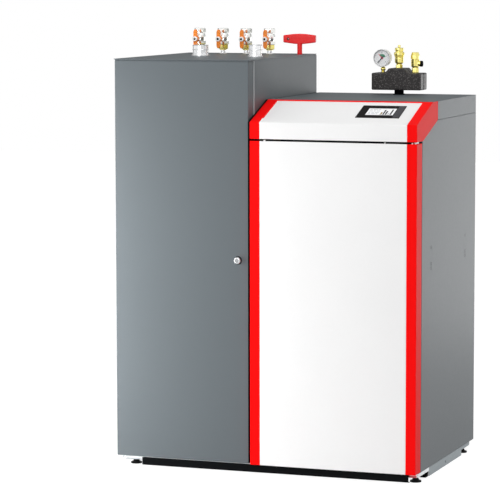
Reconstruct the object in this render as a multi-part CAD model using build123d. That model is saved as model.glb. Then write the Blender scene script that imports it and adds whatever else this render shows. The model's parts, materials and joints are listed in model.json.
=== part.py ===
from build123d import *
import math
import os

os.makedirs("parts", exist_ok=True)

# Pellet boiler with a pellet store beside it, standing on one frame.
# Millimetres, +X to the right, +Y to the back, +Z up.
# The origin is on the floor, under the middle of the whole appliance.

# Cabinets
store_width = 498.0
store_height = 1390.0
boiler_width = 592.0
boiler_height = 1249.0
boiler_depth = 740.0
cabinet_gap = 7.0
front_step = 14.0
rear_step = 9.0
floor_clearance = 34.0
flue_reach = 60.0

# Sheet metal and clearances
sheet = 1.5
flange = 22.0
seam = 0.5
touch_gap = 0.3
pin_play = 0.05
past = 1.0

# Doors and hinges
store_door_depth = 50.0
store_door_gap = 6.0
boiler_door_depth = 60.0
boiler_door_gap = 4.0
door_inset = 3.0
door_lift = 1.0
door_lip = 15.0
trim_width = 35.0
hinge_inset = 12.0
store_hinge_back = 26.0
boiler_hinge_back = 34.0

# Hood and lid, measured down from the boiler's top
hood_height = 125.0
hood_gap = 7.0
kink_drop = 68.0
lid_height = 63.0
hood_depth = 250.0
slope_depth = 186.0

# Shell of the heat exchanger
shell_side_gap = 55.0
shell_front_gap = 164.0
shell_rear_gap = 106.0
shell_top_gap = 119.0
shell_foot = 150.0
shell_wall = 6.0
grate_height = 300.0
lower_plate_height = 720.0
top_box_height = 60.0

# Pellet screw and water pipes
screw_back = 170.0
screw_height = 470.0
screw_tube_radius = 32.0
header_radius = 17.0
flow_back = 42.0
return_back = 71.0
port_offset = 40.0

# Planes worked out from the sizes above
total_width = store_width + cabinet_gap + boiler_width
store_left = -total_width / 2
store_right = store_left + store_width
boiler_left = store_right + cabinet_gap
boiler_right = boiler_left + boiler_width
boiler_front = -(boiler_depth + flue_reach) / 2
boiler_back = boiler_front + boiler_depth
store_front = boiler_front + front_step
store_back = boiler_back - rear_step
base_top = floor_clearance
store_top = base_top + store_height
boiler_top = base_top + boiler_height
boiler_middle = (boiler_left + boiler_right) / 2
store_panel_front = store_front + store_door_depth + store_door_gap
boiler_panel_front = boiler_front + boiler_door_depth + boiler_door_gap
hood_bottom = boiler_top - hood_height
lid_bottom = boiler_top - lid_height
shell_x = (boiler_left + shell_side_gap, boiler_right - shell_side_gap)
shell_y = (boiler_front + shell_front_gap, boiler_back - shell_rear_gap)
shell_z = (base_top + shell_foot, boiler_top - shell_top_gap)
grate_z = base_top + grate_height
lower_plate_z = base_top + lower_plate_height
upper_plate_z = shell_z[1] - top_box_height
screw_y = boiler_back - screw_back
screw_z = base_top + screw_height
flow_header = (boiler_back - flow_back, upper_plate_z - port_offset)
return_header = (boiler_back - return_back, lower_plate_z + port_offset)


def slab(x, y, z):
    """A rectangular solid between two values on each axis."""
    size = [high - low for low, high in (x, y, z)]
    centre = [(low + high) / 2 for low, high in (x, y, z)]
    return Pos(*centre) * Box(*size)


def drum(radius, start, end):
    """A cylinder from one point to another."""
    run = Vector(*end) - Vector(*start)
    seat = Plane(origin=start, z_dir=run)
    return seat * Cylinder(radius, run.length, align=(Align.CENTER, Align.CENTER, Align.MIN))


def upright(radius, centre, z):
    """A vertical cylinder between two heights."""
    return drum(radius, (*centre, z[0]), (*centre, z[1]))


def lengthwise(radius, x, z, y):
    """A cylinder along Y between two depths."""
    return drum(radius, (x, y[0], z), (x, y[1], z))


def crosswise(radius, x, y, z):
    """A cylinder along X between two sides."""
    return drum(radius, (x[0], y, z), (x[1], y, z))


def hexagon(flats, centre, z):
    """A vertical hexagonal prism, given across its flats."""
    outline = RegularPolygon(flats / 2, 6, major_radius=False)
    return Pos(*centre, z[0]) * extrude(outline, amount=z[1] - z[0])


def side_profile(points, x):
    """A solid whose outline is drawn looking along X, between two X values."""
    face = make_face(Polyline(*points, close=True))
    return Plane.YZ.offset(x[0]) * extrude(face, amount=x[1] - x[0])


def shrink(span, by):
    """The same span, shorter by one amount at both ends."""
    return (span[0] + by, span[1] - by)


def outward(start, direction, length):
    """A span of a length from a start, towards plus or minus."""
    return tuple(sorted((start, start + direction * length)))


def save(name, *solids):
    """Write one node, of one solid or of a group of separate solids."""
    shape = solids[0] if len(solids) == 1 else Compound(list(solids))
    export_step(shape, "parts/" + name + ".step")


# Base frame: two beams, three rails along Y and two bearers under the heat exchanger
frame_inset = 30.0
beam_height = 12.0
rail_height = 31.0
rail_width = 34.0
rail_wall = 2.5
front_beam_gap = 10.0
front_beam_depth = 82.0
rear_beam_gap = 37.0
rear_beam_depth = 84.0
rail_front_gap = 20.0
rail_rear_gap = 52.0
rail_cut_front = 131.0
rail_cut_rear = 101.0
bearer_inset = 24.0
bearer_depth = 44.0
rail_hole_radius = 4.5
rail_hole_drop = 17.0
rail_slot_radius = 3.0
rail_slot_drop = 8.0
rail_slot_back = 99.0

frame_left = store_left + frame_inset
front_beam = (store_front + front_beam_gap, store_front + front_beam_gap + front_beam_depth)
rear_beam = (store_back - rear_beam_gap - rear_beam_depth, store_back - rear_beam_gap)
rail_run = (store_front + rail_front_gap, store_back - rail_rear_gap)
rail_deep_run = (rail_run[0] + rail_cut_front, rail_run[1] - rail_cut_rear)
rail_slot_y = store_front + rail_slot_back
beam_z = (base_top - beam_height, base_top)
middle_rail = (store_right - rail_width, boiler_left + rail_width)
bearer_starts = (shell_y[0] + bearer_inset, rear_beam[0] - bearer_depth)


def side_rail(outer_x, inward):
    """An angle rail, cut away under both ends where the feet stand."""
    web = outward(outer_x, inward, rail_wall)
    ledge = outward(outer_x, inward, rail_width)
    rail = slab(web, rail_run, beam_z)
    rail += slab(web, rail_deep_run, (base_top - rail_height, base_top))
    return rail + slab(ledge, rail_run, (base_top - rail_wall, base_top))


base_frame = slab((frame_left, boiler_right - rail_wall), front_beam, beam_z)
base_frame += slab((frame_left, boiler_right - rail_wall), rear_beam, beam_z)
base_frame += slab(middle_rail, (front_beam[0], rear_beam[1]), beam_z)
for bearer_start in bearer_starts:
    bearer_y = (bearer_start, bearer_start + bearer_depth)
    base_frame += slab((middle_rail[0], boiler_right - rail_wall), bearer_y, beam_z)
base_frame += side_rail(frame_left, 1)
base_frame += side_rail(boiler_right, -1)
rail_hole_y = (store_front + store_back) / 2
rail_cut = (boiler_right - rail_wall - past, boiler_right + past)
base_frame -= crosswise(rail_hole_radius, rail_cut, rail_hole_y, base_top - rail_hole_drop)
base_frame -= crosswise(rail_slot_radius, rail_cut, rail_slot_y, base_top - rail_slot_drop)

# Levelling feet, each a plastic pad with a threaded stud
pad_radius = 19.5
pad_rim = 5.0
cone_base = 14.0
cone_tip = 6.5
cone_top = 18.0
stud_radius = 4.5
left_foot_inset = 52.0
right_foot_inset = 20.0
front_foot_back = 58.0
rear_foot_front = 79.0
foot_x = (store_left + left_foot_inset, (store_right + boiler_left) / 2, boiler_right - right_foot_inset)
foot_y = (store_front + front_foot_back, store_back - rear_foot_front)

feet = []
for foot in [(x, y) for x in foot_x for y in foot_y]:
    pad = upright(pad_radius, foot, (0.0, pad_rim))
    cone = Cone(cone_base, cone_tip, cone_top - pad_rim, align=(Align.CENTER, Align.CENTER, Align.MIN))
    feet.append(pad + Pos(*foot, pad_rim) * cone)
    feet.append(upright(stud_radius, foot, (cone_top, base_top)))
    base_frame -= upright(stud_radius + pin_play, foot, (beam_z[0] - past, base_top + past))
save("levelling_feet", *feet)

# Front plinth, a folded strip in front of the frame
plinth_step = 2.0
plinth_left = 97.0
plinth_right = 29.0
plinth_height = 24.0
plinth_drop = 2.0
plinth_lip = 8.0
plinth_overhang = 3.0
plinth_face = store_front + plinth_step
plinth_x = (store_left + plinth_left, boiler_right - plinth_right)
plinth_z = (base_top - plinth_drop - plinth_height, base_top - plinth_drop)
plinth = slab(plinth_x, (plinth_face, plinth_face + sheet), plinth_z)
plinth += slab(plinth_x, (plinth_face, front_beam[0]), (plinth_z[1] - sheet, plinth_z[1]))
plinth += slab(
    (plinth_x[0], plinth_x[1] + plinth_overhang),
    (plinth_face - sheet, plinth_face + plinth_lip),
    (plinth_z[0] - sheet, plinth_z[0]),
)
save("front_plinth", plinth)

# Store cabinet walls
top_plate = 2.0
top_seam = 3.0
store_wall_top = store_top - top_plate - top_seam


def passages(x):
    """Round holes for the pellet screw's tube and the two pipe headers."""
    cutters = crosswise(screw_tube_radius + touch_gap, x, screw_y, screw_z)
    for header_y, header_z in (flow_header, return_header):
        cutters += crosswise(header_radius + touch_gap, x, header_y, header_z)
    return cutters


def store_side(outer_x, inward):
    """A store side wall with its folded flanges."""
    web = outward(outer_x, inward, sheet)
    fold = outward(outer_x, inward, flange)
    fold_y = (store_panel_front, store_back - sheet)
    wall_z = (base_top, store_wall_top)
    wall = slab(web, (store_panel_front, store_back), wall_z)
    wall += slab(fold, (fold_y[0], fold_y[0] + sheet), wall_z)
    wall += slab(fold, (fold_y[1] - sheet, fold_y[1]), wall_z)
    wall += slab(fold, fold_y, (wall_z[1] - sheet, wall_z[1]))
    return wall + slab(fold, fold_y, (wall_z[0], wall_z[0] + sheet))


store_right_side_panel = store_side(store_right, -1)
store_right_side_panel -= passages((store_right - sheet - past, store_right + past))
save("store_left_side_panel", store_side(store_left, 1))
save("store_right_side_panel", store_right_side_panel)

store_rear_panel = slab(
    (store_left + sheet + touch_gap, store_right - sheet - touch_gap),
    (store_back - sheet, store_back),
    (base_top, store_wall_top),
)
save("store_rear_panel", store_rear_panel)

# What passes through the store's top: four pipes, two hose spigots and the pull rod
valve_count = 4
valve_pitch = 90.5
valve_inset = 67.0
pipe_radius = 9.0
hose_inset = 165.0
hose_back = 405.0
hose_radius = 28.0
air_inset = 394.0
air_back = 350.0
air_radius = 23.5
outlet_half_depth = 74.0
rod_inset = 28.0
rod_front = 20.0
rod_radius = 6.0
hose_spigot = (store_left + hose_inset, store_front + hose_back)
air_spigot = (store_left + air_inset, store_front + air_back)
pipe_y = return_header[0]
valve_x = [store_left + valve_inset + number * valve_pitch for number in range(valve_count)]
rod = (store_right - rod_inset, screw_y + outlet_half_depth - rod_front)

# Store top, a plate on a stiffener that leaves a seam over the walls and the door
stiffener_inset = 4.0
stiffener_front = 30.0
top_x = (store_left, store_right)
store_top_panel = slab(top_x, (store_front, store_back), (store_top - top_plate, store_top))
store_top_panel += slab(
    shrink(top_x, stiffener_inset),
    (store_panel_front + stiffener_front, store_back - stiffener_inset),
    (store_wall_top, store_top - top_plate),
)
top_cut = (store_wall_top - past, store_top + past)
for centre_x in valve_x:
    store_top_panel -= upright(pipe_radius + touch_gap, (centre_x, pipe_y), top_cut)
store_top_panel -= upright(hose_radius + touch_gap, hose_spigot, top_cut)
store_top_panel -= upright(air_radius + touch_gap, air_spigot, top_cut)
store_top_panel -= upright(rod_radius + pin_play, rod, top_cut)
save("store_top_panel", store_top_panel)

# Hinge pins of both doors: the lower ones stand in the frame, the upper ones hang from plates
pin_radius = 4.0
pin_grip = 12.0
pin_seat = 9.0
collar_radius = 8.0
boss_radius = 9.0
boss_floor = 3.0
pin_plate = 3.0
pin_plate_margin = 14.0
pin_plate_grip = 20.0
store_hinge = (store_left + door_inset + hinge_inset, store_front + store_hinge_back)
boiler_hinge = (boiler_right - hinge_inset, boiler_front + boiler_hinge_back)
store_door_z = (base_top + door_lift, store_wall_top - seam)
boiler_door_z = (base_top + door_lift, hood_bottom - hood_gap)
hood_plate_z = (hood_bottom - seam, hood_bottom - seam + pin_plate)


def lower_pin(centre):
    """A pin that stands in the frame, with a collar that the door rests on."""
    pin = upright(pin_radius, centre, (base_top - pin_seat, base_top + pin_grip))
    return pin + upright(collar_radius, centre, (base_top, base_top + door_lift - touch_gap))


def upper_pin(centre, plate_x, plate_end, plate_z, door_top):
    """A pin under a plate that lies on the side wall's flange, with a collar over the door."""
    pin = slab(plate_x, (centre[1] - pin_plate_margin, plate_end), plate_z)
    pin += upright(pin_radius, centre, (door_top - pin_grip, plate_z[1]))
    return pin + upright(collar_radius, centre, (door_top + touch_gap, plate_z[0]))


store_upper_pin = upper_pin(
    store_hinge,
    (store_left + stiffener_inset, store_hinge[0] + pin_plate_margin),
    store_panel_front + pin_plate_grip,
    (store_wall_top, store_wall_top + pin_plate),
    store_door_z[1],
)
boiler_upper_pin = upper_pin(
    boiler_hinge,
    (boiler_hinge[0] - pin_plate_margin, boiler_right - stiffener_inset),
    boiler_panel_front + pin_plate_grip,
    hood_plate_z,
    boiler_door_z[1],
)
save("door_hinge_pins", lower_pin(store_hinge), store_upper_pin, lower_pin(boiler_hinge), boiler_upper_pin)

for centre in (store_hinge, boiler_hinge):
    base_frame -= upright(pin_radius + pin_play, centre, (base_top - pin_seat, base_top + past))
save("base_frame", base_frame)


def with_bushes(leaf, centre, z):
    """The door leaf with a bush at its foot and one at its top."""
    for edge_z, inward in ((z[0], 1), (z[1], -1)):
        leaf += upright(boss_radius, centre, outward(edge_z, inward, pin_grip + boss_floor))
        bore = outward(edge_z - inward * past, inward, pin_grip + 2 * past)
        leaf -= upright(pin_radius + pin_play, centre, bore)
    return leaf


def tray(x, y, z):
    """A folded door leaf, open at the back inside its lips."""
    leaf = slab(x, y, z)
    leaf -= slab(shrink(x, sheet), shrink(y, sheet), shrink(z, sheet))
    return leaf - slab(shrink(x, door_lip), (y[1] - 2 * sheet, y[1] + past), shrink(z, door_lip))


# Store door with its cam lock
lock_inset = 41.0
lock_height = 705.0
barrel_radius = 9.5
lock_head_radius = 12.0
lock_head = 11.0
lock_recess = 0.5
plug_radius = 7.0
cam_gap = 2.0
cam_thickness = 3.0
cam_length = 34.0
cam_half_width = 7.0
key_width = 1.6
key_height = 9.0
key_depth = 6.0
lock_x = store_right - lock_inset
lock_z = base_top + lock_height
cam_front = store_panel_front + sheet + cam_gap

store_door = tray(
    (store_left + door_inset, store_right - door_inset),
    (store_front, store_front + store_door_depth),
    store_door_z,
)
store_door = with_bushes(store_door, store_hinge, store_door_z)
skin_cut = (store_front - past, store_front + sheet + past)
store_door -= lengthwise(barrel_radius + pin_play, lock_x, lock_z, skin_cut)
save("store_door", store_door)

lock_barrel = lengthwise(barrel_radius, lock_x, lock_z, (store_front, cam_front - touch_gap))
lock_barrel += lengthwise(lock_head_radius, lock_x, lock_z, (store_front - lock_head, store_front))
lock_barrel -= lengthwise(plug_radius + pin_play, lock_x, lock_z, (store_front - lock_head - past, cam_front))
save("lock_barrel", lock_barrel)

cam_y = (cam_front, cam_front + cam_thickness)
plug_face = store_front - lock_head + lock_recess
lock_cam = lengthwise(plug_radius, lock_x, lock_z, (plug_face, cam_y[1]))
lock_cam -= slab(
    (lock_x - key_width / 2, lock_x + key_width / 2),
    (plug_face - past, plug_face + key_depth),
    (lock_z - key_height / 2, lock_z + key_height / 2),
)
lock_cam += lengthwise(barrel_radius, lock_x, lock_z, cam_y)
lock_cam += slab((lock_x - cam_half_width, lock_x + cam_half_width), cam_y, (lock_z, lock_z + cam_length))
save("lock_cam", lock_cam)

# Pellet hopper, sloping to an outlet in its back right corner
hopper_wall = 2.0
hopper_side_gap = 14.0
hopper_front_gap = 75.0
hopper_top_drop = 150.0
hopper_slope_rise = 340.0
neck_height = 630.0
neck_length = 30.0
outlet_width = 92.0
rod_hole_play = 1.0
hopper_x = (store_left + hopper_side_gap, store_right - hopper_side_gap)
hopper_y = (store_front + hopper_front_gap, screw_y + outlet_half_depth)
outlet_x = (hopper_x[1] - outlet_width, hopper_x[1])
outlet_y = (screw_y - outlet_half_depth, screw_y + outlet_half_depth)
hopper_top = store_top - hopper_top_drop
neck_bottom = base_top + neck_height
neck_top = neck_bottom + neck_length
hopper_slope_top = neck_top + hopper_slope_rise
hopper_roof = (hopper_top - hopper_wall, hopper_top)


def level_rectangle(x, y, z):
    """A rectangular face at one height."""
    return Pos(sum(x) / 2, sum(y) / 2, z) * Rectangle(x[1] - x[0], y[1] - y[0])


def funnel(low_x, low_y, low_z, high_x, high_y, high_z):
    """A four-sided funnel between two level rectangles."""
    lower = level_rectangle(low_x, low_y, low_z)
    return loft([lower, level_rectangle(high_x, high_y, high_z)], ruled=True)


inner_x = shrink(hopper_x, hopper_wall)
inner_y = shrink(hopper_y, hopper_wall)
throat_x = shrink(outlet_x, hopper_wall)
throat_y = shrink(outlet_y, hopper_wall)
hopper = slab(hopper_x, hopper_y, (hopper_slope_top, hopper_top))
hopper += funnel(outlet_x, outlet_y, neck_top, hopper_x, hopper_y, hopper_slope_top)
hopper += slab(outlet_x, outlet_y, (neck_bottom, neck_top))
hopper -= slab(inner_x, inner_y, (hopper_slope_top, hopper_roof[0]))
hopper -= funnel(throat_x, throat_y, neck_top, inner_x, inner_y, hopper_slope_top)
hopper -= slab(throat_x, throat_y, (neck_bottom - past, neck_top))
hopper += slab(shrink(top_x, sheet + touch_gap), hopper_y, hopper_roof)
roof_cut = (hopper_roof[0] - past, hopper_roof[1] + past)
spigot_wall = 2.0
hopper -= upright(hose_radius - spigot_wall, hose_spigot, roof_cut)
hopper -= upright(rod_radius + rod_hole_play, rod, roof_cut)

# Suction turbine on the hopper
turbine_shift = (-42.0, -20.0)
turbine_radius = 85.0
turbine_height = 95.0
turbine_wall = 3.0
hub_radius = 22.0
hub_height = 30.0
hub_floor = 8.0
turbine_shaft_radius = 5.0
inlet_count = 6
inlet_radius = 10.0
inlet_circle = 55.0
turbine = (air_spigot[0] + turbine_shift[0], air_spigot[1] + turbine_shift[1])
turbine_z = (hopper_top, hopper_top + turbine_height)
hub_top = turbine_z[0] + hub_height
turbine_housing = upright(turbine_radius, turbine, turbine_z)
turbine_housing -= upright(turbine_radius - turbine_wall, turbine, shrink(turbine_z, turbine_wall))
turbine_housing += upright(hub_radius, turbine, (turbine_z[0], hub_top))
hub_bore = (turbine_z[0] + hub_floor, hub_top + past)
turbine_housing -= upright(turbine_shaft_radius + pin_play, turbine, hub_bore)
for number in range(inlet_count):
    angle = 2 * math.pi * (number + 0.5) / inlet_count
    place = (turbine[0] + inlet_circle * math.cos(angle), turbine[1] + inlet_circle * math.sin(angle))
    inlet = upright(inlet_radius, place, (hopper_roof[0] - past, turbine_z[0] + turbine_wall + past))
    turbine_housing -= inlet
    hopper -= inlet
turbine_housing -= upright(
    air_radius - spigot_wall,
    air_spigot,
    (turbine_z[1] - turbine_wall - past, turbine_z[1] + past),
)
save("pellet_hopper", hopper)
save("suction_turbine_housing", turbine_housing)

impeller_radius = 74.0
impeller_height = 40.0
impeller_lift = 2.0
impeller_disc = 2.0
impeller_hub = 14.0
blade_count = 8
blade_thickness = 2.0
blade_inner = 12.0
impeller_z = (hub_top + impeller_lift, hub_top + impeller_lift + impeller_height)
impeller = upright(impeller_radius, turbine, (impeller_z[0], impeller_z[0] + impeller_disc))
impeller += upright(impeller_hub, turbine, impeller_z)
impeller += upright(turbine_shaft_radius, turbine, (turbine_z[0] + hub_floor + past, impeller_z[0]))
blade = slab(
    (blade_inner, impeller_radius - past),
    (-blade_thickness / 2, blade_thickness / 2),
    (0.0, impeller_height),
)
for number in range(blade_count):
    impeller += Pos(*turbine, impeller_z[0]) * Rot(0, 0, 360.0 / blade_count * number) * blade
save("suction_turbine_impeller", impeller)

# Hose spigots
hose_rise = 38.0
air_rise = 42.0
spigot_collar = 5.0
spigot_collar_height = 2.5


def spigot(centre, radius, bottom, rise):
    """An upright hose tube with a collar on the store's top."""
    tube = upright(radius, centre, (bottom, store_top + rise))
    tube += upright(radius + spigot_collar, centre, (store_top, store_top + spigot_collar_height))
    return tube - upright(radius - spigot_wall, centre, (bottom - past, store_top + rise + past))


save("pellet_hose_spigot", spigot(hose_spigot, hose_radius, hopper_top, hose_rise))
save("return_air_spigot", spigot(air_spigot, air_radius, turbine_z[1], air_rise))

# Shut-off plate under the hopper's outlet, on a rod that is pulled up by hand
rod_travel = 65.0
plate_thickness = 3.0
plate_overlap = 1.0
plate_top = neck_bottom - touch_gap - rod_travel
handle_rise = 38.0
handle_height = 37.0
handle_z = (store_top + handle_rise, store_top + handle_rise + handle_height)
shutoff_rod = upright(rod_radius, rod, (plate_top - plate_thickness, handle_z[0]))
shutoff_rod += slab(
    shrink(outlet_x, -plate_overlap),
    shrink(outlet_y, -plate_overlap),
    (plate_top - plate_thickness, plate_top),
)
save("shutoff_rod", shutoff_rod)

handle_reach = 61.0
handle_thickness = 16.0
handle_end = 26.0
handle_shoulder = 16.0
handle_corner = 4.0
handle_hub = 9.4
handle_hole_radius = 4.0
handle_hole_inset = 19.5
handle_middle = (handle_z[0] + handle_z[1]) / 2
handle_half = (handle_z[1] - handle_z[0]) / 2
handle_outline = Polyline(
    (-handle_reach, handle_end / 2),
    (-handle_reach, -handle_end / 2),
    (-handle_shoulder, -handle_half),
    (handle_shoulder, -handle_half),
    (handle_reach, -handle_end / 2),
    (handle_reach, handle_end / 2),
    (0, handle_half),
    close=True,
)
handle_plane = Plane(
    origin=(rod[0], rod[1] + handle_thickness / 2, handle_middle),
    x_dir=(1, 0, 0),
    z_dir=(0, -1, 0),
)
pull_handle = handle_plane * extrude(make_face(handle_outline), amount=handle_thickness)
pull_handle = fillet(pull_handle.edges().filter_by(Axis.Y), handle_corner)
pull_handle += upright(handle_hub, rod, (store_top + touch_gap, handle_middle))
pull_handle -= upright(rod_radius + pin_play, rod, (store_top, handle_z[0]))
pull_handle -= lengthwise(
    handle_hole_radius,
    rod[0] - handle_reach + handle_hole_inset,
    handle_middle,
    (rod[1] - handle_thickness, rod[1] + handle_thickness),
)
save("pull_handle", pull_handle)

# Pellet screw: its tube with the drop chute above, the screw and its geared motor
tube_wall = 3.0
chute_wall = 2.0
chute_play = 4.0
chute_overlap = 10.0
chute_sump = 8.0
inlet_side = 8.0
inlet_half_depth = 18.0
inlet_rise = 10.0
screw_tail = 58.0
bowl_shift = 45.0
bowl_radius = 46.0
drop_length = 50.0
drop_half_depth = 22.0
drop_end = 8.0
shaft_radius = 8.0
shaft_stub = 4.0
shaft_coupling = 26.0
bowl = (boiler_middle - bowl_shift, screw_y)
screw_x = (outlet_x[0] - screw_tail, bowl[0] + drop_length / 2 + drop_end)
chute_x = shrink(outlet_x, -chute_play)
chute_y = shrink(outlet_y, -chute_play)
chute_z = (plate_top - plate_thickness - chute_sump, neck_bottom + chute_overlap)
inlet_x = shrink(outlet_x, inlet_side)
inlet_y = (screw_y - inlet_half_depth, screw_y + inlet_half_depth)
inlet_z = screw_z + inlet_rise
auger_trough = crosswise(screw_tube_radius, screw_x, screw_y, screw_z)
auger_trough += slab(shrink(chute_x, -chute_wall), shrink(chute_y, -chute_wall), chute_z)
auger_trough += funnel(
    shrink(inlet_x, -chute_wall),
    shrink(inlet_y, -chute_wall),
    inlet_z,
    shrink(chute_x, -chute_wall),
    shrink(chute_y, -chute_wall),
    chute_z[0],
)
auger_trough -= slab(chute_x, chute_y, (chute_z[0], chute_z[1] + past))
auger_trough -= funnel(inlet_x, inlet_y, inlet_z, chute_x, chute_y, chute_z[0])
auger_trough -= crosswise(screw_tube_radius - tube_wall, shrink(screw_x, tube_wall), screw_y, screw_z)
auger_trough -= slab(
    (bowl[0] - drop_length / 2, bowl[0] + drop_length / 2),
    (screw_y - drop_half_depth, screw_y + drop_half_depth),
    (screw_z - screw_tube_radius - past, screw_z),
)
auger_trough -= crosswise(shaft_radius + pin_play, shrink(screw_x, -past), screw_y, screw_z)
save("auger_trough", auger_trough)

flight_radius = 27.0
flight_root = 6.0
flight_pitch = 52.0
flight_thickness = 3.0
flight_lead = 12.0
flight_turns = int((screw_x[1] - screw_x[0] - 2 * flight_lead) / flight_pitch)
flight_path = Helix(flight_pitch, flight_pitch * flight_turns, (flight_root + flight_radius) / 2)
flight_plane = Plane(origin=flight_path @ 0, x_dir=(1, 0, 0), z_dir=flight_path % 0)
flight_section = flight_plane * Rectangle(flight_radius - flight_root, flight_thickness)
flight = sweep(flight_section, path=flight_path, is_frenet=True)
shaft_x = (screw_x[0] - shaft_coupling, screw_x[1] + shaft_stub)
auger_screw = crosswise(shaft_radius, shaft_x, screw_y, screw_z)
auger_screw += Pos(screw_x[0] + flight_lead, screw_y, screw_z) * Rot(0, 90, 0) * flight
save("auger_screw", auger_screw)

gearbox_length = 78.0
gearbox_half = 36.0
gearbox_foot = 42.0
screw_motor_radius = 28.0
screw_motor_length = 84.0
gearbox_x = (screw_x[0] - gearbox_length, screw_x[0])
gearbox_z = (screw_z - gearbox_foot, screw_z + gearbox_half)
screw_motor = slab(gearbox_x, (screw_y - gearbox_half, screw_y + gearbox_half), gearbox_z)
screw_motor += upright(
    screw_motor_radius,
    (sum(gearbox_x) / 2, screw_y),
    (gearbox_z[0] - screw_motor_length, gearbox_z[0]),
)
shaft_socket = (screw_x[0] - shaft_coupling - past, screw_x[0] + past)
screw_motor -= crosswise(shaft_radius + pin_play, shaft_socket, screw_y, screw_z)
save("auger_gear_motor", screw_motor)

# Ball valves with two-winged levers
valve_rise = 16.0
nut_height = 17.0
valve_height = 76.0
collar_height = 12.0
head_height = 16.0
nut_flats = 32.0
valve_flats = 38.0
valve_belly = 20.0
thread_radius = 15.1
water_radius = 9.0
ball_radius = 14.0
ball_rise = 38.0
bonnet_radius = 10.0
bonnet_reach = 34.0
stem_radius = 4.0
lever_gap = 3.0
lever_thickness = 7.0
lever_reach = 34.0
lever_half_width = 8.0
lever_corner = 6.0
lever_hub = 11.0
lever_cap_radius = 7.0
lever_cap_height = 14.0
valve_low = store_top + valve_rise
nut_top = valve_low + nut_height
valve_top = valve_low + valve_height
ball_z = valve_low + ball_rise
bonnet_face = pipe_y - bonnet_reach
lever_back = bonnet_face - lever_gap
lever_y = (lever_back - lever_thickness, lever_back)

for number, centre_x in enumerate(valve_x, start=1):
    centre = (centre_x, pipe_y)
    valve_body = hexagon(nut_flats, centre, (valve_low, nut_top))
    valve_body += hexagon(valve_flats, centre, (nut_top, nut_top + collar_height))
    valve_body += upright(valve_belly, centre, (nut_top + collar_height, valve_top - head_height))
    valve_body += hexagon(valve_flats, centre, (valve_top - head_height, valve_top))
    valve_body += lengthwise(bonnet_radius, centre_x, ball_z, (bonnet_face, pipe_y))
    valve_body -= upright(water_radius, centre, (valve_low - past, valve_top + past))
    valve_body -= upright(thread_radius, centre, (valve_top - head_height, valve_top + past))
    valve_body -= Pos(*centre, ball_z) * Sphere(ball_radius + touch_gap)
    valve_body -= lengthwise(stem_radius + pin_play, centre_x, ball_z, (bonnet_face - past, pipe_y))
    save("valve_body_" + str(number), valve_body)

    ball = Pos(*centre, ball_z) * Sphere(ball_radius)
    ball += lengthwise(stem_radius, centre_x, ball_z, (lever_back, pipe_y))
    ball -= upright(water_radius, centre, (ball_z - ball_radius - past, ball_z + ball_radius + past))
    lever = slab(
        (centre_x - lever_half_width, centre_x + lever_half_width),
        lever_y,
        (ball_z - lever_reach, ball_z + lever_reach),
    )
    lever = fillet(lever.edges().filter_by(Axis.Y), lever_corner)
    lever += lengthwise(lever_hub, centre_x, ball_z, lever_y)
    lever += lengthwise(lever_cap_radius, centre_x, ball_z, (lever_y[0] - lever_cap_height, lever_back))
    save("valve_lever_" + str(number), lever, ball)

# Pipes from the valves down to the flow and return headers
pipe_wall = 1.5
header_wall = 2.0
header_end = 25.0
port_radius = 14.0
port_wall = 2.0
flow_end = 150.0
pump_inset = 100.0
pump_radius = 45.0
flow_x = (valve_x[0] - header_end, boiler_left + flow_end)
flow_port_x = flow_x[1] - header_radius
pump_x = boiler_left + pump_inset
return_x = (valve_x[0] - header_end, pump_x - pump_radius + past)
port_end_y = shell_y[1]
flow_outer = crosswise(header_radius, flow_x, *flow_header)
flow_outer += lengthwise(port_radius, flow_port_x, flow_header[1], (port_end_y, flow_header[0]))
flow_inner = crosswise(header_radius - header_wall, shrink(flow_x, header_wall), *flow_header)
flow_inner += lengthwise(
    port_radius - port_wall,
    flow_port_x,
    flow_header[1],
    (port_end_y - past, flow_header[0]),
)
return_hollow_x = (return_x[0] + header_wall, return_x[1] + past)
return_outer = crosswise(header_radius, return_x, *return_header)
return_inner = crosswise(header_radius - header_wall, return_hollow_x, *return_header)
for centre_x in valve_x[0::2]:
    centre = (centre_x, pipe_y)
    flow_outer += upright(pipe_radius, centre, (flow_header[1], valve_low))
    flow_outer += lengthwise(pipe_radius, centre_x, flow_header[1], (pipe_y, flow_header[0]))
    flow_outer += Pos(*centre, flow_header[1]) * Sphere(pipe_radius)
    flow_inner += upright(pipe_radius - pipe_wall, centre, (flow_header[1], valve_low + past))
    flow_inner += lengthwise(pipe_radius - pipe_wall, centre_x, flow_header[1], (pipe_y, flow_header[0]))
for centre_x in valve_x[1::2]:
    centre = (centre_x, pipe_y)
    return_outer += upright(pipe_radius, centre, (return_header[1], valve_low))
    return_inner += upright(pipe_radius - pipe_wall, centre, (return_header[1], valve_low + past))
save("heating_pipes", flow_outer - flow_inner, return_outer - return_inner)

# Circulation pump between the return header and the heat exchanger
volute_half = 18.0
volute_wall = 4.0
pump_motor_radius = 38.0
pump_motor_gap = 6.0
pump_socket = 8.0
volute_y = (return_header[0] - volute_half, return_header[0] + volute_half)
pump_z = return_header[1]
pump = lengthwise(pump_radius, pump_x, pump_z, volute_y)
pump += lengthwise(pump_motor_radius, pump_x, pump_z, (volute_y[1], boiler_back - pump_motor_gap))
pump += lengthwise(port_radius, pump_x, pump_z, (port_end_y, volute_y[0]))
pump -= lengthwise(pump_radius - volute_wall, pump_x, pump_z, shrink(volute_y, volute_wall))
pump -= lengthwise(
    port_radius - port_wall,
    pump_x,
    pump_z,
    (port_end_y - past, volute_y[0] + volute_wall + past),
)
pump -= crosswise(header_radius + pin_play, (return_x[1] - past, return_x[1] + pump_socket), *return_header)
save("circulation_pump", pump)

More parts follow.
